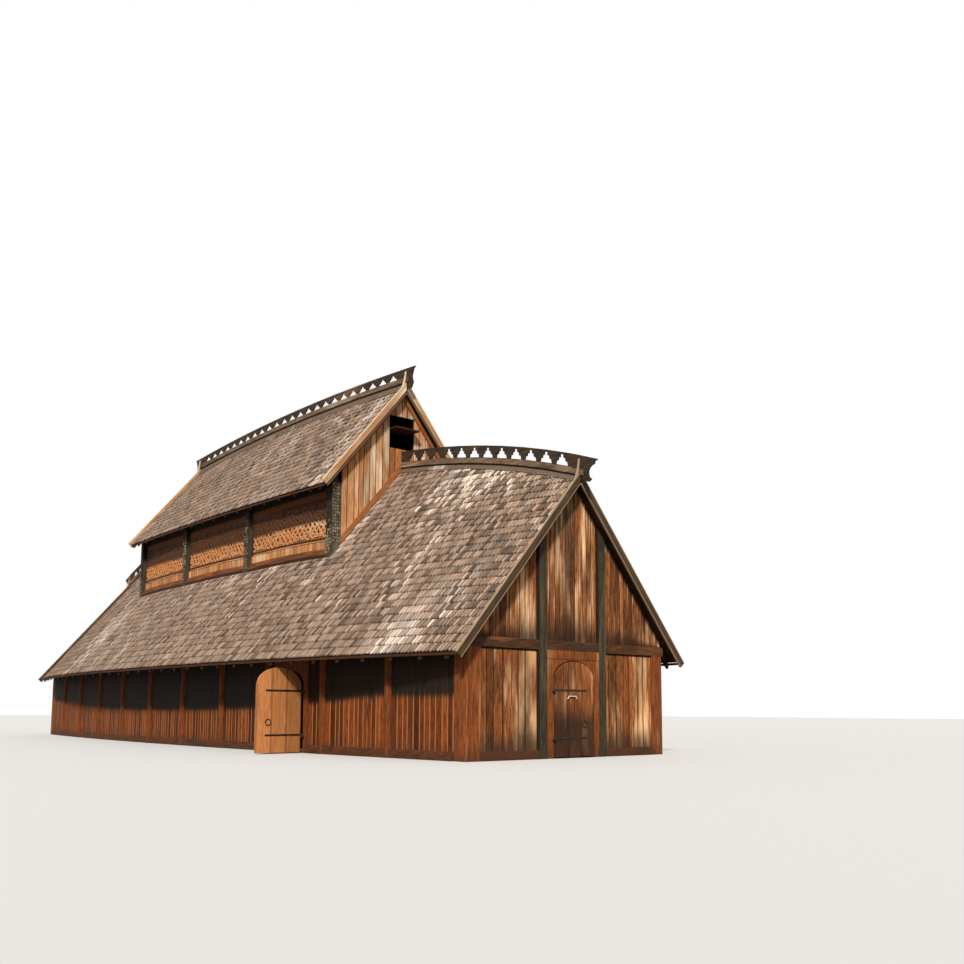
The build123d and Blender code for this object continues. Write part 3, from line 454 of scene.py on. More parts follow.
def timber(name, dark, light, grain="upright", width=0.03, bleach=0.3,
           bleach_color=(0.62, 0.50, 0.38), stain=0.3, stain_color=(0.03, 0.02, 0.014), soil=0.0,
           rough=0.8, bump=0.35, size=1.0, tone=0.0, tilt=0.0, edge=None, painted_lit_edge=None, notch=None,
           fades=(), painted_shade_above=None, split=None, lines=None):
    """Adds a finish of aged wood. Tone is how far a board's own tone lightens or darkens it, tilt
    the slope it lies on. Edge is a colour and strength for both long edges of a board,
    painted_lit_edge the colour of a painted highlight along the one edge of each board towards
    the sun, notch the orange that shows between the points of a few shingles, where the others
    get a near-black painted as shade. Each fade is a start and an end as shares of the board's
    height, a colour and how far it goes there. Painted_shade_above is a height above which the
    roof's shade is painted near-black onto the timber, but not onto what lies further out along
    the hall than its second value. Over a roof line, split is the height below which the wood is
    coloured darker, with a black line along it, and lines are the heights of two light edges."""
    material = bpy.data.materials.new(name)
    material.use_nodes = True
    shader = material.node_tree.nodes["Principled BSDF"]
    r = Recipe(material.node_tree)
    coordinates = r.add("ShaderNodeTexCoord").outputs["Object"]
    if tilt:
        coordinates, line = folded_coordinates(r, coordinates, tilt)
    along = r.vector("MULTIPLY", coordinates, GRAIN[grain])
    patch_mix = r.add("ShaderNodeMix", data_type="VECTOR")
    for value, number in ((0.7, 0), (coordinates, 4), (along, 5)):
        r.feed(value, patch_mix.inputs[number])
    patch = patch_mix.outputs[1]
    if tone:
        own = r.parts(r.add("ShaderNodeAttribute", attribute_name="own").outputs["Vector"])
        shifted = r.joined(r.math("MULTIPLY", own[2], 37.0), 0.0, r.math("MULTIPLY", own[2], 91.0))
        along = r.vector("ADD", along, shifted)
        patch = r.vector("MULTIPLY_ADD", shifted, (0.012, 0.012, 0.012), patch)
    streaks, fibres, height = r.use(grain_group, Along=along, Width=width)
    bleached, stained = r.use(weather_group, Along=along, Patch=patch, Size=size, Bleach=bleach,
                              Stain=stain)
    color = r.mix(streaks, dark, light)
    color = r.mix(0.35, color, r.mix(fibres, dark, light))
    color = r.mix(bleached, color, bleach_color)
    color = r.mix(r.math("MULTIPLY", stained, 0.75), color, stain_color)
    if tone:
        color = r.vector("SCALE", color, scale=r.ramp(own[2], 0.0, 1.0, 1.0 - tone, 1.0 + tone))
    if edge:
        near_edge = r.ramp(r.math("ABSOLUTE", own[0]), 0.83, 0.92)
        patchy = r.math("MULTIPLY", near_edge, r.ramp(fibres, 0.1, 0.7, 0.7, 1.0))
        color = r.mix(r.math("MULTIPLY", patchy, edge[1]), color, edge[0])
    # Painted highlight: the one edge of each board towards the sun is lightened, less where it is
    # stained.
    if painted_lit_edge:
        lit_edge_mask = r.math("MULTIPLY", r.ramp(own[0], 0.72, 0.80), r.ramp(stained, 0.6, 0.2))
        color = r.mix(r.math("MULTIPLY", lit_edge_mask, 0.75), color, painted_lit_edge)
    # Painted shade: near-black where the points of the course above leave a notch, orange on a few
    # shingles.
    if notch:
        few = r.math("GREATER_THAN", r.math("FRACT", r.math("MULTIPLY", own[2], 41.7)), 0.9)
        orange_notch_and_painted_shade = r.mix(r.math("MULTIPLY", few, 0.8), (0.012, 0.009, 0.007), notch)
        color = r.mix(r.ramp(own[1], 0.68, 0.72), color, orange_notch_and_painted_shade)
    for start, end, shade, amount in fades:
        color = r.mix(r.ramp(own[1], start, end, 0.0, amount), color, shade)
    # Painted shade: above the given height the roof's shade is painted near-black, except further out
    # along the hall.
    if painted_shade_above:
        x, _, z = r.parts(coordinates)
        inner = r.ramp(r.math("ABSOLUTE", x), painted_shade_above[1], painted_shade_above[1] - 0.02)
        painted_shade_mask = r.math("MULTIPLY", inner, r.ramp(z, painted_shade_above[0] - 0.16, painted_shade_above[0] + 0.16))
        color = r.mix(r.math("MULTIPLY", painted_shade_mask, 0.92), color, JOINT_AND_SHADE_BLACK)
    if split:
        color = r.mix(r.ramp(line, split + 0.01, split, 0.0, 0.85), color, (0.085, 0.055, 0.032))
        under = r.ramp(line, split + 0.02, split + 0.01)
        seam = r.math("MULTIPLY", r.ramp(line, split - 0.03, split - 0.02), under)
        color = r.mix(r.math("MULTIPLY", seam, 0.9), color, JOINT_AND_SHADE_BLACK)
    if lines:
        low = r.ramp(line, lines[0] + 0.02, lines[0] + 0.035, 1.0, 0.0)
        high = r.ramp(line, lines[1] - 0.05, lines[1] - 0.035)
        color = r.mix(r.math("MULTIPLY", r.math("MAXIMUM", low, high), 0.8), color, bleach_color)
    if soil:
        soiled = r.use(soil_group, Height=soil)[0]
        color = r.mix(r.math("MULTIPLY", soiled, 0.6), color, (0.04, 0.03, 0.02))
    r.link(color, shader.inputs["Base Color"])
    dry = r.ramp(bleached, 0, 1, rough - 0.05, min(rough + 0.12, 1))
    r.link(dry, shader.inputs["Roughness"])
    shader.inputs["Specular IOR Level"].default_value = 0.2
    r.link(r.bump(height, bump, 0.006), shader.inputs["Normal"])
    finish[name] = material


# %% [markdown]
# ### The palette
# Every kind of timber on the hall has its own call: the dark and the light tone of its grain,
# how far the sun has bleached it and to which colour, and how much it is stained. The tones
# were tuned in test renders, for boards in the sun and in the shade.

# %% timber palette
LIT_SHARE, POST_PAST = 0.64, 0.10    # sunlit share of an inner main post; its reach past the panels
verge_ridge = float(roof_z(VERGE, 0.0))
upper_verge_ridge = UPPER_EAVE_Z + math.tan(UPPER_SLOPE) * float(upper_eave_y(UPPER_VERGE))
post_foot = float(panel_low(INNER_POST)) - PANEL_SEAT
post_shadow_height = post_foot + LIT_SHARE * (float(panel_high(INNER_POST)) + POST_PAST - post_foot)
# Walls and gables
# Red boards: the edge towards the sun carries a painted highlight.
# Red boards: the fade paints the eave's shadow near-black over the shade line.
timber("red_boards", (0.035, 0.008, 0.002), (0.245, 0.058, 0.01), width=0.022, tone=0.6, bleach=0.2,
       bleach_color=(0.56, 0.21, 0.065), stain=0.34, soil=0.6, edge=((0.012, 0.004, 0.002), 0.8),
       painted_lit_edge=(0.47, 0.17, 0.048), fades=((0.95, 1.1, (0.006, 0.005, 0.003), 0.94),))
timber("red_frame", (0.06, 0.014, 0.003), (0.27, 0.07, 0.013), width=0.022, bleach=0.16,
       bleach_color=(0.46, 0.18, 0.06), soil=0.4)
timber("sill_beams", (0.045, 0.013, 0.004), (0.19, 0.058, 0.016), grain="long", bleach=0.2,
       bleach_color=(0.42, 0.19, 0.08), stain=0.4, soil=0.3)
# Gable boards: the first fade paints the tie beam's shadow as a near-black band at the boards' top.
timber("gable_boards", (0.04, 0.01, 0.003), (0.48, 0.15, 0.034), width=0.022, tone=0.5, bleach=0.46,
       bleach_color=(0.98, 0.57, 0.28), stain=0.5, stain_color=(0.014, 0.01, 0.006), soil=0.9,
       size=0.8, edge=(JOINT_AND_SHADE_BLACK, 0.97),
       fades=((0.972, 0.982, (0.006, 0.005, 0.003), 0.9), (0.24, 0.0, (0.02, 0.012, 0.008), 0.6)))
timber("gable_high_boards", (0.04, 0.011, 0.004), (0.48, 0.16, 0.042), width=0.02, tone=0.5,
       bleach=0.44, bleach_color=(0.98, 0.6, 0.32), stain=0.5, stain_color=(0.014, 0.011, 0.007),
       size=0.7, edge=(JOINT_AND_SHADE_BLACK, 0.95),
       fades=((0.24, 0.02, (0.014, 0.007, 0.004), 0.78),))
timber("gable_frame", (0.09, 0.022, 0.005), (0.4, 0.11, 0.026), bleach=0.32,
       bleach_color=(0.66, 0.35, 0.15), stain=0.4, soil=0.5)
timber("upper_gable_boards", (0.3, 0.115, 0.035), (0.72, 0.37, 0.16), width=0.026, tone=0.3,
       bleach=0.5, bleach_color=(0.92, 0.72, 0.5), stain=0.25, stain_color=(0.1, 0.03, 0.01),
       size=0.7, edge=((0.03, 0.012, 0.006), 0.95))
timber("orange_boards", (0.24, 0.075, 0.018), (0.6, 0.23, 0.07), width=0.02, tone=0.2, bleach=0.22,
       bleach_color=(0.8, 0.5, 0.26), edge=((0.05, 0.018, 0.008), 0.9))
# Posts and ridges
timber("brown_posts", (0.016, 0.013, 0.007), (0.085, 0.068, 0.036), width=0.02, bleach=0.34,
       bleach_color=(0.18, 0.125, 0.07), soil=0.5)
# Carved posts: the roof's shade is painted near-black over the sunlit share of the inner posts.
timber("carved_posts", (0.025, 0.02, 0.012), (0.105, 0.083, 0.052), width=0.02, bleach=0.35,
       bleach_color=(0.26, 0.21, 0.145), stain=0.35, painted_shade_above=(post_shadow_height, UPPER_GABLE - 0.02))
# Post scales: a near-black band is painted as shade just under the points of the row above.
timber("post_scales", (0.05, 0.04, 0.025), (0.21, 0.165, 0.105), width=0.02, bleach=0.4, tone=0.7,
       bleach_color=(0.48, 0.38, 0.28), edge=((0.01, 0.008, 0.006), 0.7),
       fades=((0.6, 0.68, (0.01, 0.008, 0.005), 0.9),))
timber("ridge_rails", (0.06, 0.042, 0.028), (0.33, 0.2, 0.115), grain="long", bleach=0.38,
       bleach_color=(0.52, 0.38, 0.26), stain=0.42)
timber("crests", (0.012, 0.01, 0.007), (0.075, 0.046, 0.026), grain="long", bleach=0.36,
       bleach_color=(0.2, 0.11, 0.055), stain=0.42)
# Beams and verges
timber("tie_beams", (0.025, 0.01, 0.005), (0.125, 0.05, 0.018), grain="across", bleach=0.36,
       bleach_color=(0.42, 0.16, 0.05), stain=0.5)
timber("bargeboards", (0.03, 0.02, 0.009), (0.13, 0.08, 0.038), width=0.04, tilt=SLOPE_TILT,
       bleach=0.16, bleach_color=(0.55, 0.36, 0.23), stain=0.4,
       lines=(verge_ridge - 0.165, verge_ridge + 0.165))
timber("upper_bargeboards", (0.34, 0.15, 0.055), (0.74, 0.42, 0.21), width=0.04, tilt=UPPER_TILT,
       bleach=0.42, bleach_color=(0.92, 0.72, 0.5), stain=0.25, stain_color=(0.12, 0.05, 0.02),
       lines=(upper_verge_ridge - 1.0, upper_verge_ridge + 0.165), split=upper_verge_ridge - 0.14)
timber("raking_boards", (0.2, 0.06, 0.016), (0.52, 0.2, 0.065), tilt=UPPER_TILT, bleach=0.25,
       bleach_color=(0.74, 0.42, 0.2))
# Roofs
timber("roof_timbers", (0.01, 0.005, 0.002), (0.05, 0.018, 0.006), bleach=0.05,
       bleach_color=(0.1, 0.04, 0.015))
timber("eave_laths", (0.012, 0.005, 0.002), (0.11, 0.032, 0.009), grain="long", width=0.02,
       bleach=0.15, bleach_color=(0.26, 0.1, 0.035), stain=0.5)
timber("roof_boards", (0.01, 0.006, 0.004), (0.04, 0.02, 0.01), width=0.04, tilt=SLOPE_TILT,
       bleach=0.05, bleach_color=(0.08, 0.045, 0.025))
# Ridge capping: coloured darker than the shingles, as painted shade under the ridge rail.
timber("ridge_capping", (0.06, 0.04, 0.026), (0.26, 0.18, 0.125), width=0.01, tilt=SLOPE_TILT,
       bleach_color=(0.7, 0.58, 0.47))
# Shingles: the notch between points is painted near-black as shade, and orange on a few shingles.
timber("shingles", (0.15, 0.095, 0.063), (0.47, 0.325, 0.23), width=0.01, tilt=SLOPE_TILT, tone=0.68,
       bleach=0.36, bleach_color=(0.8, 0.66, 0.55), stain=0.2, stain_color=(0.1, 0.068, 0.044),
       rough=0.85, size=1.6, edge=((0.05, 0.034, 0.022), 0.8), notch=(0.5, 0.15, 0.04))
# Doors
timber("door_planks", (0.42, 0.145, 0.04), (0.68, 0.28, 0.095), tone=0.3, bleach=0.22,
       bleach_color=(0.82, 0.5, 0.25), stain=0.12, bump=0.2, edge=((0.1, 0.03, 0.01), 0.5))
timber("gable_door_planks", (0.11, 0.03, 0.008), (0.4, 0.13, 0.036), width=0.04, tone=0.3,
       bleach=0.44, bleach_color=(0.78, 0.44, 0.21), stain=0.42, size=0.5, bump=0.2,
       edge=((0.012, 0.008, 0.005), 0.6), fades=((0.62, 0.34, (0.016, 0.009, 0.005), 0.82),))
# Carved panels, their sills and the handle
# Panel boards: the ground behind the carving is painted near-black as shade between the bands, and the
# upper fades paint the eave's shadow, black just under the eave.
timber("panel_boards", (0.36, 0.13, 0.04), (0.7, 0.34, 0.14), width=0.02, tone=0.3, bleach=0.35,
       bleach_color=(0.86, 0.58, 0.34), stain=0.15, edge=((0.06, 0.02, 0.008), 0.8),
       fades=((0.208, 0.214, (0.01, 0.006, 0.003), 0.94), (0.6, 0.66, (0.055, 0.017, 0.005), 0.75),
               (0.8, 0.82, (0.17, 0.052, 0.013), 0.85), (0.89, 0.91, (0.008, 0.005, 0.003), 0.95)))
# Carved bands: the fade paints the eave's shadow on the upper part of the carving.
timber("carved_bands", (0.4, 0.13, 0.036), (0.74, 0.34, 0.13), grain="long", tone=0.2,
       bleach_color=(0.88, 0.6, 0.36), stain=0.15,
       fades=((0.46, 0.52, (0.042, 0.012, 0.004), 0.92),))
timber("sill_boards", (0.035, 0.01, 0.003), (0.31, 0.085, 0.017), grain="long", width=0.05,
       bleach=0.1, bleach_color=(0.46, 0.19, 0.06), stain=0.48)
timber("handle_wood", (0.55, 0.5, 0.42), (0.8, 0.76, 0.68), grain="across", width=0.01, bleach=0.2,
       bleach_color=(0.85, 0.82, 0.75), stain=0.1, bump=0.15)
print(len(finish), "timbers")

# %% [markdown]
# ## Forged iron
# Hinge straps, pins and rings are black from the forge, with a brown bloom where the scale
# has come off. Metal that is covered in scale and rust is rough, so only the rubbed parts
# keep a dull shine.

# %% iron
iron = finish["forged_iron"] = bpy.data.materials.new("forged_iron")
iron.use_nodes = True
shader = iron.node_tree.nodes["Principled BSDF"]
r = Recipe(iron.node_tree)
place = r.add("ShaderNodeTexCoord").outputs["Object"]
bloom = r.ramp(r.noise(place, 22.0, 5.0, 0.65), 0.50, 0.68)
r.link(r.mix(bloom, (0.020, 0.019, 0.018), (0.10, 0.045, 0.022)), shader.inputs["Base Color"])
r.link(r.ramp(bloom, 0, 1, 0.45, 0.85), shader.inputs["Roughness"])
r.link(r.ramp(bloom, 0, 1, 0.55, 0.1), shader.inputs["Metallic"])
r.link(r.bump(r.noise(place, 60.0, 3.0), 0.4, 0.003), shader.inputs["Normal"])

# %% [markdown]
# ## Shingles
# The roof is covered with narrow split shingles, each cut to a point, in courses 0.28 m apart
# and about 0.11 m from one to the next, with every second course shifted by half. They could
# be painted on with bump, but the eave shows their points against the dark, so they are real
# wedges here: eight corners each, thin at the top and thick at the butt.

# %% shingles
COURSE, PITCH_X, LENGTH = 0.28, 0.111, 0.42
POINT, BUTT = 0.085, 0.030
DEEP = 0.045        # the shingles lie in the outermost part of the roof's thickness
WEDGE = [(2, 3, 1, 0), (4, 3, 2), (0, 1, 6, 5), (5, 6, 7), (0, 5, 2), (1, 3, 6), (2, 5, 7, 4),
         (3, 4, 7, 6)]
ACROSS = np.array([-1, 1, -1, 1, 0, -1, 1, 0])       # side of the wedge on which a corner lies
UNDER = np.array([0, 0, 0, 0, 0, 1, 1, 1])           # 1 for the corners of its underside


def shingle_field(x0, x1, reach, side, upper=False):
    """Corners of all shingles between two places along the hall. Course k starts k spacings up the
    slope, column i lies i pitches along it, and every second course is moved by half a pitch. A
    corner is the shingle's own place plus its share of width, length and thickness, laid on the
    slope; what passes the top of the slope or the ends is drawn in. A starter course lies under
    the first one and fills the notches between its points."""
    angle = UPPER_SLOPE if upper else SLOPE
    columns = int(math.ceil((x1 - x0) / PITCH_X)) + 1
    top = max(float(reach(np.array(x))) for x in np.linspace(x0, x1, 9)) / math.cos(angle)
    k, i = np.meshgrid(np.arange(-1, int(math.ceil(top / COURSE))), np.arange(columns), indexing="ij")
    k, i = k.ravel(), i.ravel()
    n = len(k)
    starter = k < 0
    x = x0 + (i + 0.5 * (k % 2)) * PITCH_X + rng.normal(0, 0.003, n)
    butt = np.maximum(k, 0) * COURSE + np.abs(rng.normal(0, 0.009, n)) + 0.045 * starter
    half = 0.5 * PITCH_X - 0.004 - np.abs(rng.normal(0, 0.0025, n))
    up = np.array([LENGTH, LENGTH, POINT, POINT, 0, POINT, POINT, 0])
    cx = x[:, None] + ACROSS * half[:, None]
    cs = butt[:, None] + up
    sink = (np.abs(rng.normal(0, 0.004, n)) + 0.016 * starter)[:, None]
    ch = -DEEP * up / LENGTH - sink - UNDER * BUTT
    limit = reach(np.clip(x, x0, x1)) / math.cos(angle)
    keep = (x > x0 - 0.03) & (x < x1 + 0.03) & (butt < limit - 0.06)
    cx = np.clip(cx, x0, x1)
    cs = np.minimum(cs, limit[:, None] - 0.004)
    shapes = on_slope(cx, cs, ch, side, upper)[keep]
    tone = np.clip(rng.normal(0.5, 0.22, n), 0, 1)[keep]
    own = np.stack(np.broadcast_arrays(ACROSS, up / LENGTH, tone[:, None]), -1)
    points, faces = repeat(WEDGE, shapes)
    return points, faces, own


def roof_layer(x0, x1, reach, side, upper, out, deep, width=None, lift=0.0):
    """A strip of the slope between two heights over it, whose cross sections stand at every bend of
    the eave. It runs from the eave to the top, or has the given width below the top. Its upper
    edge is lifted straight up by the given amount."""
    knots = upper_knots if upper else roof_knots
    bends = {x0, x1} | {float(k) for k in knots if x0 < k < x1}
    xs = np.array(sorted(bends | ({-INNER_POST, INNER_POST} if x0 < 0 < x1 else set())))
    angle = UPPER_SLOPE if upper else SLOPE
    top = reach(xs) / math.cos(angle)
    foot = np.full(len(xs), 0.05) if width is None else top - width
    lifted = (top + lift * math.sin(angle), out + lift * math.cos(angle))
    corners = [on_slope(xs, s, np.full(len(xs), h), side, upper)
               for s, h in ((foot, out), lifted, (top, deep), (foot, deep))]
    points = np.stack(corners, 1).reshape(-1, 3)
    faces = [(4 * a + c, 4 * a + 4 + c, 4 * a + 4 + (c + 1) % 4, 4 * a + (c + 1) % 4)
             for a in range(len(xs) - 1) for c in range(4)]
    last = 4 * (len(xs) - 1)
    faces += [(0, 1, 2, 3), (last + 3, last + 2, last + 1, last)]
    return points, face_out(points, faces)


def to_ridge(x):
    """The slope runs up to just beside the foot of the crest board."""
    return eave_y(x) - 0.025


def to_posts(x):
    """The slope runs up to the outer faces of the main posts."""
    return eave_y(x) - post_y(x)


def upper_to_ridge(x):
    """The middle roof's slope runs up to beside the foot of its own crest."""
    return upper_eave_y(x) - 0.025


SEAM = 0.012                                  # half the gap between two fields of the roof
DECK_TOP, DECK_DROP, UPPER_DECK_DROP = -0.052, 0.135, 0.115    # the boards under the shingles
CAP_TOP, CAP_FOOT, CAP_WIDTH = -0.004, -0.06, 0.11
CAP_LIFT, UPPER_CAP_LIFT = 0.05, 0.11
fields = [
    ("roof_near", UPPER_GABLE + SEAM, VERGE, to_ridge, False),
    ("roof_middle", -UPPER_GABLE + SEAM, UPPER_GABLE - SEAM, to_posts, False),
    ("roof_far", -VERGE, -UPPER_GABLE - SEAM, to_ridge, False),
    ("upper_roof", -UPPER_VERGE, UPPER_VERGE, upper_to_ridge, True),
]
for label, x0, x1, reach, upper in fields:
    for side, word in ((-1, "front"), (1, "back")):
        node = f"{word}_{label}"
        points, faces, own = shingle_field(x0, x1, reach, side, upper)
        make_piece(f"{node}_shingles", points, faces, "hall", "shingles", (node,), own)
        drop = UPPER_DECK_DROP * math.cos(UPPER_SLOPE) if upper else DECK_DROP * math.cos(SLOPE)
        points, faces = roof_layer(x0, x1, reach, side, upper, DECK_TOP, -drop)
        make_piece(f"{node}_boards", points, faces, "hall", "roof_boards", (node,))
        if reach is not to_posts:
            points, faces = roof_layer(x0, x1, reach, side, upper, CAP_TOP, CAP_FOOT, CAP_WIDTH,
                                       UPPER_CAP_LIFT if upper else CAP_LIFT)
            make_piece(f"{node}_capping", points, faces, "hall", "ridge_capping",
                       (node,))

# %% [markdown]
# ## Upright boards
# The walls are clad with upright boards whose front edges are planed off, so that each joint is
# a small groove. A board is a hexagon in plan drawn up to the roof, and its top follows the
# slope. The same row of boards serves the long walls, both kinds of gable and the panels; only
# the formula that puts it in its place differs.

# %% board rows
PRISM = [(0, 1, 7, 6), (1, 2, 8, 7), (2, 3, 9, 8), (3, 4, 10, 9), (4, 5, 11, 10), (5, 0, 6, 11),
         (5, 4, 3, 2, 1, 0), (6, 7, 8, 9, 10, 11)]


def board_edges(a, b, width, spread=0.25):
    """Places of the joints from a to b, with boards about as wide as asked."""
    n = max(1, round(abs(b - a) / width))
    parts = 1 + rng.uniform(-spread, spread, n)
    return a + (b - a) * np.concatenate(([0], np.cumsum(parts) / parts.sum()))


def board_row(edges, low, high, thick, place, joint=0.004, bevel=0.010, full=None):
    """Upright boards between the given places across a wall, from low to high, which are heights at
    a place across it. Place turns (across, depth behind the face, height) into a point. Each
    board lies a little deeper than the face, by chance. Its share of height is measured from low
    to high, or as its height over the one that full gives."""
    left, right = edges[:-1], edges[1:]
    inset = joint + bevel
    flat = np.stack([left, left + joint, left + inset, right - inset, right - joint, right], 1)
    u = np.concatenate([flat, flat], 1)
    set_back = rng.uniform(0, 0.006, len(left))[:, None]
    d = np.tile([thick, bevel, 0, 0, bevel, thick], 2) + set_back * np.tile([0, 1, 1, 1, 1, 0], 2)
    z = np.concatenate([low(flat), high(flat)], 1)
    side = (u - u.mean(1, keepdims=True)) / (0.5 * (right - left)[:, None])
    up = z / full(u) if full else np.repeat([0.0, 1.0], 6)
    tone = np.clip(rng.normal(0.5, 0.25, len(left)), 0, 1)[:, None]
    own = np.stack(np.broadcast_arrays(side, up, tone), -1)
    return place(u, d, z), own


def on_long_wall(side):
    """Place along the hall, depth behind the wall's face and height to a point."""
    return lambda u, d, z: np.stack([u, side * (wall_y(u) - d), z], -1)


def on_gable(end, face):
    """Place across the hall, depth behind the gable's face and height to a point."""
    return lambda u, d, z: np.stack([end * (face - d), u, z], -1)


def clad(name, rows, node, look):
    """One piece from several rows of boards."""
    points, faces = repeat(PRISM, np.concatenate([shapes for shapes, _ in rows]))
    make_piece(name, points, faces, "hall", look, (node,), np.concatenate([own for _, own in rows]))


def level(z):
    """The same height everywhere."""
    return lambda u: np.full(np.shape(u), z)


# %% [markdown]
# ### The long walls
# Each bay is filled with boards from the sill to just under the roof. Beside the door they end
# at its frame, and short ones stand over it. The eave's shadow is painted near-black on their
# upper part.

# %% long walls
SUN_DROP = 1.13      # fall of the eave's shadow for each metre that the eave stands out


def shade_line(u):
    """Height of the eave's shadow on the long walls, but at most 1.52 m, where the corner of the
    roof shades the end bays. Over it the shadow is painted near-black into the boards' colour."""
    return np.minimum(EAVE_Z - SUN_DROP * (eave_y(u) - wall_y(u)), 1.52)


SILL_TOP, POST_HALF, CORNER_IN = 0.225, 0.124, 15.07
DOOR_X, DOOR_FRAME, DOOR_FRAME_TOP = 8.3045, 0.87, 2.64
JAMBS = (DOOR_X - DOOR_FRAME, DOOR_X + DOOR_FRAME)
THICK = 0.05             # of the boards on long walls and lower gables


def wall_top(u):
    """Top of the wall boards, under the wall plate."""
    return roof_z(u, wall_y(u)) - 0.416


for side, word in ((-1, "front"), (1, "back")):
    rows = []
    for a, b in zip(wall_knots[:-1], wall_knots[1:]):
        x0, x1 = max(a + POST_HALF, -CORNER_IN), min(b - POST_HALF, CORNER_IN)
        spans = [(x0, x1, SILL_TOP)]
        if side < 0 and x0 < DOOR_X < x1:
            spans = [(x0, JAMBS[0], SILL_TOP), (*JAMBS, DOOR_FRAME_TOP), (JAMBS[1], x1, SILL_TOP)]
        for c, d, foot in spans:
            rows.append(board_row(board_edges(c, d, 0.2), level(foot), wall_top, THICK,
                                  on_long_wall(side), full=shade_line))
    clad(f"{word}_wall_planks", rows, f"{word}_wall_boards", "red_boards")

# %% [markdown]
# ### The gables
# Two squared posts and a tie beam divide each gable. The boards under the tie are broad, and
# those over it are narrower and follow the roof. A dark groove runs beside some of the posts.

# %% gables
POST_IN, POST_OUT, CORNER_Y = 0.98, 1.23, 3.17
TIE_LOW, TIE_TOP = 2.772, 3.022
GROOVE = 0.035
low_rows, high_rows, groove_rows = [], [], []


def under_deck(u):
    """Underside of the lower roof's boards at the gable."""
    return roof_z(GABLE, u) - 0.137


for end in (1, -1):
    place = on_gable(end, GABLE)
    behind = on_gable(end, GABLE + 0.055)
    low_spans = [(-CORNER_Y, -POST_OUT - GROOVE), (POST_OUT, CORNER_Y)]
    if end < 0:
        low_spans.append((-POST_IN, POST_IN))
    for a, b in low_spans:
        low_rows.append(board_row(board_edges(a, b, 0.26, 0.4), level(SILL_TOP), level(TIE_LOW),
                                  THICK, place, joint=0.007, bevel=0.014))
    for a, b in ((-3.6, -POST_OUT - GROOVE), (-POST_IN, 0), (0, POST_IN - GROOVE), (POST_OUT, 3.6)):
        high_rows.append(board_row(board_edges(a, b, 0.17, 0.3), level(TIE_TOP), under_deck, THICK,
                                   place, joint=0.008, bevel=0.016))
    for b, low, high in ((-POST_OUT, level(SILL_TOP), level(TIE_LOW)),
                         (-POST_OUT, level(TIE_TOP), under_deck),
                         (POST_IN, level(TIE_TOP), under_deck)):
        strip = np.array([b - GROOVE, b + 0.002])
        groove_rows.append(board_row(strip, low, high, 0.10, behind, joint=0.001, bevel=0.002))
clad("gable_planks_low", low_rows, "gable_low_boards", "gable_boards")
clad("gable_planks_high", high_rows, "gable_high_boards", "gable_high_boards")
clad("gable_post_grooves", groove_rows, "gable_high_boards", "roof_boards")

# %% [markdown]
# ### The upper gables
# The gables of the middle roof are paler. Their boards leave the smoke opening free, and a
# patch of newer, orange boards closes the wall under it.

# %% upper gables
HATCH_Y, INNER_WALL = 0.485, 2.307
upper_ridge = UPPER_EAVE_Z + math.tan(UPPER_SLOPE) * float(upper_eave_y(UPPER_GABLE))
HATCH_TOP = upper_ridge - 1.011
HATCH_LOW = HATCH_TOP - 1.11


def on_lower_roof(u):
    """Foot of the upper gable's boards, a little inside the lower roof."""
    return roof_z(UPPER_GABLE, u) - 0.12


def under_upper_deck(u):
    """Underside of the middle roof's boards at the upper gable."""
    return upper_ridge - math.tan(UPPER_SLOPE) * np.abs(u) - 0.117


upper_rows, patch_rows = [], []
for end in (1, -1):
    place = on_gable(end, UPPER_GABLE)
    for a, b, low, high in ((-INNER_WALL, -HATCH_Y, on_lower_roof, under_upper_deck),
                            (HATCH_Y, INNER_WALL, on_lower_roof, under_upper_deck),
                            (-HATCH_Y, 0, level(HATCH_TOP), under_upper_deck),
                            (0, HATCH_Y, level(HATCH_TOP), under_upper_deck)):
        upper_rows.append(board_row(board_edges(a, b, 0.24, 0.3), low, high, 0.06, place,
                                    joint=0.008, bevel=0.018))
    for a, b in ((-HATCH_Y, 0), (0, HATCH_Y)):
        patch_rows.append(board_row(board_edges(a, b, 0.24, 0.3), on_lower_roof, level(HATCH_LOW),
                                    0.06, place))
clad("upper_gable_planks", upper_rows, "upper_gable_walls", "upper_gable_boards")
clad("upper_gable_patch", patch_rows, "upper_gable_walls", "orange_boards")

# %% [markdown]
# ## Carved panels
# Between the main posts the upper wall is carved: a plait of flat bands that pass over and under
# each other, a row of small arches over it, and round bosses in the gaps. The margins stay
# plain and show the boards. A band is a ribbon along a zigzag line with rounded turns, and how
# far it stands out follows a wave with twice as many crests as it has crossings, which makes
# it dive under at every second one.

# %% ribbons and bosses


def ribbon(xs, zs, width, out, base):
    """Flat band along a line in the panel: at every step four corners, both edges at the base and
    a narrower top that stands out by the given amount. Edges lie square to the line."""
    dx, dz = np.gradient(xs), np.gradient(zs)
    size = np.hypot(dx, dz)
    nx, nz = -dz / size, dx / size
    half = 0.5 * width
    rows = [np.stack([xs + nx * k * half, depth, zs + nz * k * half], -1)
            for k, depth in ((-1, base), (-0.6, base - out), (0.6, base - out), (1, base))]
    points = np.stack(rows, 1)
    n = len(xs)
    faces = [(4 * a + c, 4 * a + (c + 1) % 4, 4 * a + 4 + (c + 1) % 4, 4 * a + 4 + c)
             for a in range(n - 1) for c in range(4)]
    return points, faces + [(3, 2, 1, 0), (4 * n - 4, 4 * n - 3, 4 * n - 2, 4 * n - 1)]


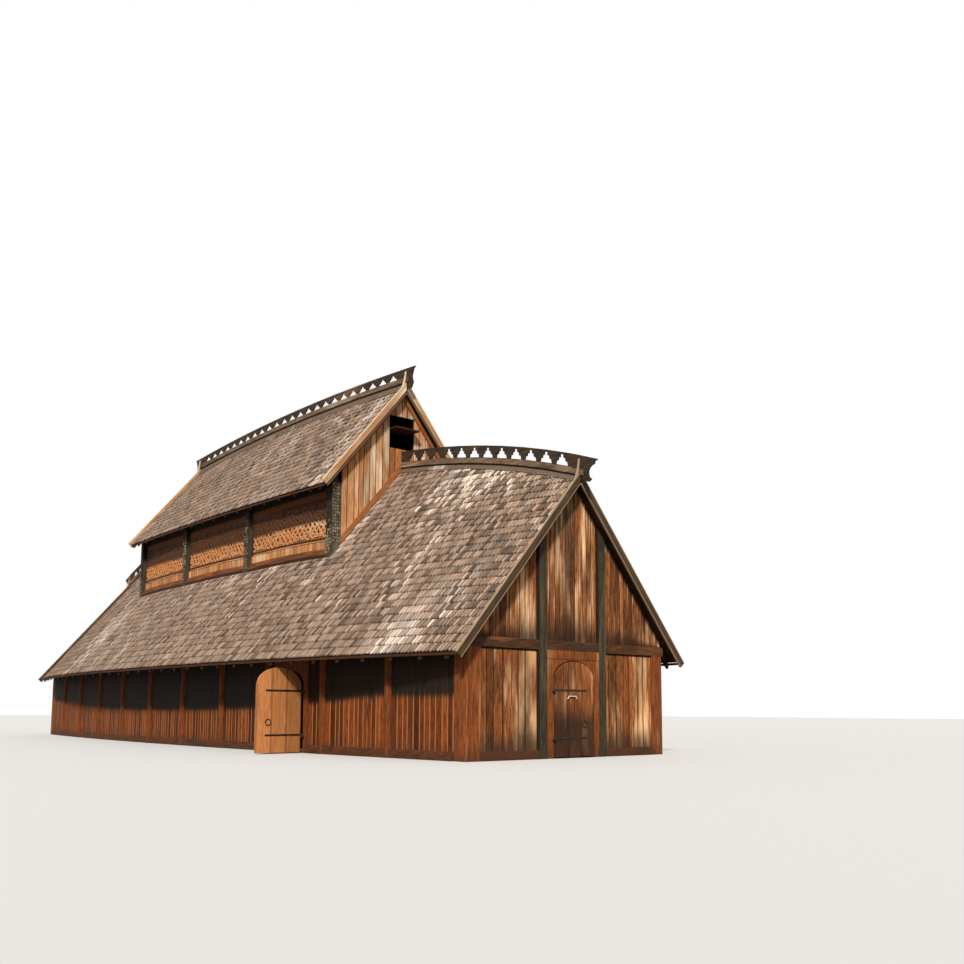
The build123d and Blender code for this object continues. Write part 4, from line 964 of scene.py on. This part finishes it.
def bosses(xs, zs, radius, base, out):
    """Low six-sided studs at the given places."""
    turn = np.arange(6) * math.pi / 3
    ring_x, ring_z = np.cos(turn), np.sin(turn)
    x = xs[:, None] + radius * np.concatenate([ring_x, 0.55 * ring_x])
    z = zs[:, None] + radius * np.concatenate([ring_z, 0.55 * ring_z])
    d = np.broadcast_to(base - out * np.repeat([0.0, 1.0], 6), x.shape)
    return np.stack([x, d, z], -1)


def on_panel(side):
    """Place along the hall, depth behind the posts and height over the panel's foot to a point."""
    return lambda u, d, z: np.stack([u, side * (post_y(u) - d), z + panel_low(u)], -1)


# %% [markdown]
# ### Carving the panels
# Every panel gets its boards first. The strands of the plait are the same zigzag line, each
# shifted along the panel by one strand's share of a turn. Bosses fill the gaps on a grid whose
# rows are shifted in turn.

# %% carve the panels
STRANDS, PLAIT, BAND = 8, 1.9, 0.085
GROUND = 0.142
MARGIN_X, MARGIN_LOW, FIELD_TOP = 0.15, 0.51, 1.60      # the carved field inside a panel
plank_rows, carved_points, carved_faces, carved_own, studs, stud_own = [], [], [], [], [], []


def panel_share(u, z):
    """Height over the panel's foot as a share of the panel's height."""
    return z / (panel_high(u) - panel_low(u))


def behind_posts(side):
    """Place along the hall, depth behind the ground of the carving and height to a point."""
    return lambda u, d, z: np.stack([u, side * (post_y(u) - d - GROUND), z], -1)


def carve(line_x, line_z, width, out, place, ground):
    """Adds one band to the carving, laid on the panel."""
    points, faces = ribbon(line_x, line_z, width, out, np.full(len(line_x), ground))
    points = points.reshape(-1, 3)
    on_wall = place(points[:, 0], points[:, 1], points[:, 2])
    shift = sum(len(p) for p in carved_points)
    carved_faces.extend(tuple(i + shift for i in f) for f in face_out(on_wall, faces))
    carved_points.append(on_wall)
    share = panel_share(points[:, 0], points[:, 2])
    tone = np.full(len(points), rng.uniform(0.3, 0.7))
    carved_own.append(np.stack([np.zeros(len(points)), share, tone], -1))


for side in (-1, 1):
    for x0, x1 in ((-7.4, -2.716), (-2.416, 2.416), (2.716, 7.4)):
        plank_rows.append(board_row(board_edges(x0, x1, 0.23), panel_low, panel_high, 0.038,
                                    behind_posts(side)))
        place = on_panel(side)
        a, b = x0 + MARGIN_X, x1 - MARGIN_X
        xs = np.linspace(a, b, 151)
        for n in range(STRANDS):
            phase = (xs - a) / PLAIT + n / STRANDS
            swing = 0.88 * np.arcsin(0.985 * np.sin(2 * np.pi * phase)) / (0.5 * np.pi)
            swing = swing + 0.07 * np.sin(2 * np.pi * 3.4 * phase + n)
            out = 0.014 + 0.006 * np.cos(2 * np.pi * STRANDS * phase)
            zs = MARGIN_LOW + (FIELD_TOP - MARGIN_LOW) * (0.5 + 0.5 * swing)
            carve(xs, zs, BAND, out, place, GROUND)
        arches = FIELD_TOP + 0.02 + 0.12 * np.abs(np.cos(np.pi * (xs - a) / (b - a) * 9)) ** 0.6
        for line in (arches, np.full(len(xs), MARGIN_LOW - 0.03)):
            carve(xs, line, 0.05, np.full(len(xs), 0.014), place, GROUND)
        step = PLAIT / STRANDS / 2
        columns = np.arange(a + step / 2, b, step)
        gx, gz = np.meshgrid(columns, np.linspace(MARGIN_LOW + 0.08, FIELD_TOP - 0.08, 8))
        gx = gx + (np.arange(8) % 2)[:, None] * step / 2
        stud = bosses(gx.ravel(), gz.ravel(), 0.026, GROUND, 0.016)
        studs.append(place(stud[..., 0], stud[..., 1], stud[..., 2]))
        share = panel_share(stud[..., 0], stud[..., 2])
        stud_own.append(np.stack([np.zeros(share.shape), share, np.full(share.shape, 0.6)], -1))
clad("panel_planks", plank_rows, "carved_panels", "panel_boards")
make_piece("carved_plait", np.concatenate(carved_points), carved_faces, "hall",
           "carved_bands", ("carved_panels",), np.concatenate(carved_own))
points, faces = repeat(PRISM, np.concatenate(studs))
make_piece("carved_bosses", points, faces, "hall", "carved_bands",
           ("carved_panels",), np.concatenate(stud_own))

# %% [markdown]
# ## Scales on the main posts
# The fronts of the eight tall posts are cut into rows of small pointed scales, like the roof's
# shingles in miniature. They are the same wedge, laid on the post instead of the slope.

# %% post scales
SCALE_W, SCALE_COURSE, SCALE_LONG = 0.075, 0.10, 0.15
SCALE_OUT, OUTER_LIT = 0.016, 0.30       # how far scales stand out; lit share of the end posts
scale_shapes, scale_own = [], []


def scale_field(place, low_z, high_z, lit=2.0):
    """Rows of scales from one height to another on a post's face, over whose width place puts them
    from the middle outwards, standing out by the given depth. Above the lit share of the height
    the scales are marked for a painted near-black, the roof's shade on the post."""
    k, i = np.meshgrid(np.arange(int((high_z - low_z) / SCALE_COURSE)), np.arange(4), indexing="ij")
    k, i = k.ravel()[:, None], i.ravel()[:, None]
    up = np.array([1, 1, 0.3, 0.3, 0, 0.3, 0.3, 0])
    u = (i - 1.5) * SCALE_W + ACROSS * (0.5 * SCALE_W - 0.003)
    z = np.minimum(low_z + k * SCALE_COURSE + SCALE_LONG * up, high_z)
    out = np.broadcast_to(SCALE_OUT * (1 - up) + 0.001 - UNDER * 0.010, z.shape)
    scale_shapes.append(place(u, out, z))
    tone = np.clip(rng.normal(0.5, 0.25, len(k)), 0, 1)[:, None]
    # Painted shade: scales above the lit share, moved a little by their tone, are marked for the
    # roof's shade.
    dark = 2.0 * (k * SCALE_COURSE > (lit + 0.3 * (tone - 0.5)) * (high_z - low_z))
    scale_own.append(np.stack(np.broadcast_arrays(ACROSS, up + dark, tone), -1))


for side in (-1, 1):
    for x in (-END_POST, -INNER_POST, INNER_POST, END_POST):
        foot, top = float(panel_low(x)) + 0.02, float(panel_high(x)) + POST_PAST
        outer = abs(x) == END_POST
        scale_field(lambda u, out, z: np.stack([x + u, side * (post_y(x + u) + out), z], -1),
                    foot, top, OUTER_LIT if outer else LIT_SHARE)
        if outer:
            end = math.copysign(1, x)
            middle = float(post_y(UPPER_GABLE)) - 0.17
            scale_field(lambda u, out, z: np.stack([end * (UPPER_GABLE + out),
                                                    side * (middle + u), z], -1),
                        foot + 0.35, top - POST_PAST)
points, faces = repeat(WEDGE, np.concatenate(scale_shapes))
make_piece("post_scales", points, faces, "hall", "post_scales",
           own=np.concatenate(scale_own))

# %% [markdown]
# ## Door planks and nails
# Each door is three planks side by side under one arch, held by the iron straps. A plank is a
# prism: its outline runs along the foot and back along half an ellipse, and a small bevel on
# its edges makes the groove between two planks. Every strap has a row of hammered nail heads.

# %% doors
LEAF_HALF, LEAF_MIDDLE, LEAF_FACE, LEAF_BACK = 0.725, 0.747, 0.022, 0.072
LEAF_FOOT, ARCH_RISE = 0.03, 0.5
SIDE_PIN, SIDE_TURN, SIDE_SPRING = (9.055, -4.3114), 93.665, 1.88
GABLE_PIN, GABLE_TURN, GABLE_SPRING = (15.618, -0.747), 90.0, 1.9899
STRAP_HEIGHTS, STRAP_END = (0.513, 1.743), 1.18


def on_leaf(pin, turn, mirror):
    """Point of a door from its place along the leaf, its depth and its height: the leaf is turned
    about its pin, and mirrored where it hangs on its other edge."""
    c, s = math.cos(math.radians(turn)), math.sin(math.radians(turn))
    return lambda u, d, z: np.stack([pin[0] + mirror * c * u - s * d,
                                     pin[1] + mirror * s * u + c * d, z], -1)


def planks(spring, place, count=3, steps=8):
    """Outline points of each plank, in front and at the back: two on the foot, the others on the
    arch, whose height over its springing is the rise times the root of 1 less the square of
    the place across the leaf."""
    edges = np.linspace(-LEAF_HALF, LEAF_HALF, count + 1)
    a, b = edges[:-1, None] + 0.001, edges[1:, None] - 0.001
    arch = b + (a - b) * np.linspace(0, 1, steps + 1)
    u = np.concatenate([a, b, arch], 1)
    z = np.concatenate([np.full((count, 2), LEAF_FOOT),
                        spring + ARCH_RISE * np.sqrt(np.clip(1 - (arch / LEAF_HALF) ** 2, 0, 1))], 1)
    side = (u - 0.5 * (a + b)) / (0.5 * (b - a))
    u, z, side = (np.concatenate([v, v], 1) for v in (u, z, side))
    d = np.repeat([LEAF_FACE, LEAF_BACK], steps + 3)
    n = steps + 3
    faces = [tuple(range(n)), tuple(range(2 * n - 1, n - 1, -1))]
    faces += [((i + 1) % n, i, n + i, n + (i + 1) % n) for i in range(n)]
    tone = np.linspace(0.2, 0.8, count)[:, None]
    own = np.stack(np.broadcast_arrays(side, z / z.max(), tone), -1)
    return place(LEAF_MIDDLE + u, np.broadcast_to(d, u.shape), z), faces, own


on_gable_leaf = on_leaf(GABLE_PIN, GABLE_TURN, 1)
for door, spring, place, look in (
        ("side_door", SIDE_SPRING, on_leaf(SIDE_PIN, SIDE_TURN, -1), "door_planks"),
        ("gable_door", GABLE_SPRING, on_gable_leaf, "gable_door_planks")):
    shapes, template, own = planks(spring, place)
    points, faces = repeat(template, shapes)
    leaf = make_piece(f"{door}_planks", points, faces, door, look,
                      (f"{door}_leaf",), own)
    bevel = leaf.modifiers.new("rounded", "BEVEL")
    bevel.width = 0.005
    bevel.segments = 1
    bevel.limit_method = "ANGLE"
    nail_u, nail_z = np.meshgrid(np.linspace(0.12, STRAP_END - 0.05, 7), STRAP_HEIGHTS)
    heads = bosses(nail_u.ravel(), nail_z.ravel(), 0.013, 0.0145, 0.004)
    points, faces = repeat(PRISM, place(heads[..., 0], heads[..., 1], heads[..., 2]))
    make_piece(f"{door}_nails", points, faces, door, "forged_iron")

# %% [markdown]
# ### The moulding over the gable door
# A flat band follows the arch of the gable's door, a finger's width outside the leaf. It stays on
# the hall when the door opens.

# %% arch moulding
ARCH_GAP, ARCH_BAND, FRAME_FACE = 0.010, 0.030, 0.078
turn = np.radians(np.linspace(8, 172, 41))
reach_out = ARCH_GAP + 0.5 * ARCH_BAND
arch_u = LEAF_MIDDLE + (LEAF_HALF + reach_out) * np.cos(turn)
arch_z = GABLE_SPRING + (ARCH_RISE + reach_out) * np.sin(turn)
points, faces = ribbon(arch_u, arch_z, ARCH_BAND, np.full(41, 0.012), np.full(41, FRAME_FACE))
points = points.reshape(-1, 3)
points = on_gable_leaf(points[:, 0], points[:, 1], points[:, 2])
make_piece("gable_door_moulding", points, face_out(points, faces), "hall", "roof_boards")

# %% [markdown]
# ## The finish of the frame's own timbers
# The pieces below keep the frame's shape, because posts, beams, crests and irons already have
# it. Each gets the timber that its place on the building asks for.

# %% frame finishes
NODE_FINISH = {
    "red_frame": ["side_door_jambs", "side_door_head", "front_posts", "back_posts", "end_bay_posts"],
    "sill_beams": ["long_sills", "gable_sills"],
    "gable_frame": ["gable_door_jambs", "gable_door_head", "corner_posts"],
    "brown_posts": ["gable_posts"],
    "carved_posts": ["main_posts"],
    "ridge_rails": ["ridge_rails"],
    "crests": ["lower_crests", "upper_crest"],
    "tie_beams": ["gable_tie_beams"],
    "bargeboards": ["bargeboards"],
    "upper_bargeboards": ["upper_bargeboards"],
    "raking_boards": ["raking_boards"],
    "eave_laths": ["eave_laths", "smoke_hatches"],
    "roof_timbers": ["wall_plates", "front_rafters", "back_rafters", "front_upper_rafters",
                     "back_upper_rafters", "cross_beams", "foot_beams", "upper_plates"],
    "sill_boards": ["panel_sills"],
    "handle_wood": ["gable_door_handle"],
    "forged_iron": ["side_door_irons", "gable_door_irons", "side_door_pins", "gable_door_pins"],
}
dressed = set()
for look, nodes in NODE_FINISH.items():
    for node in nodes:
        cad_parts[node].data.materials.clear()
        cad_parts[node].data.materials.append(finish[look])
        dressed.add(node)
print("dressed:", len(dressed), "left:", sorted(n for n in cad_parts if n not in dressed))
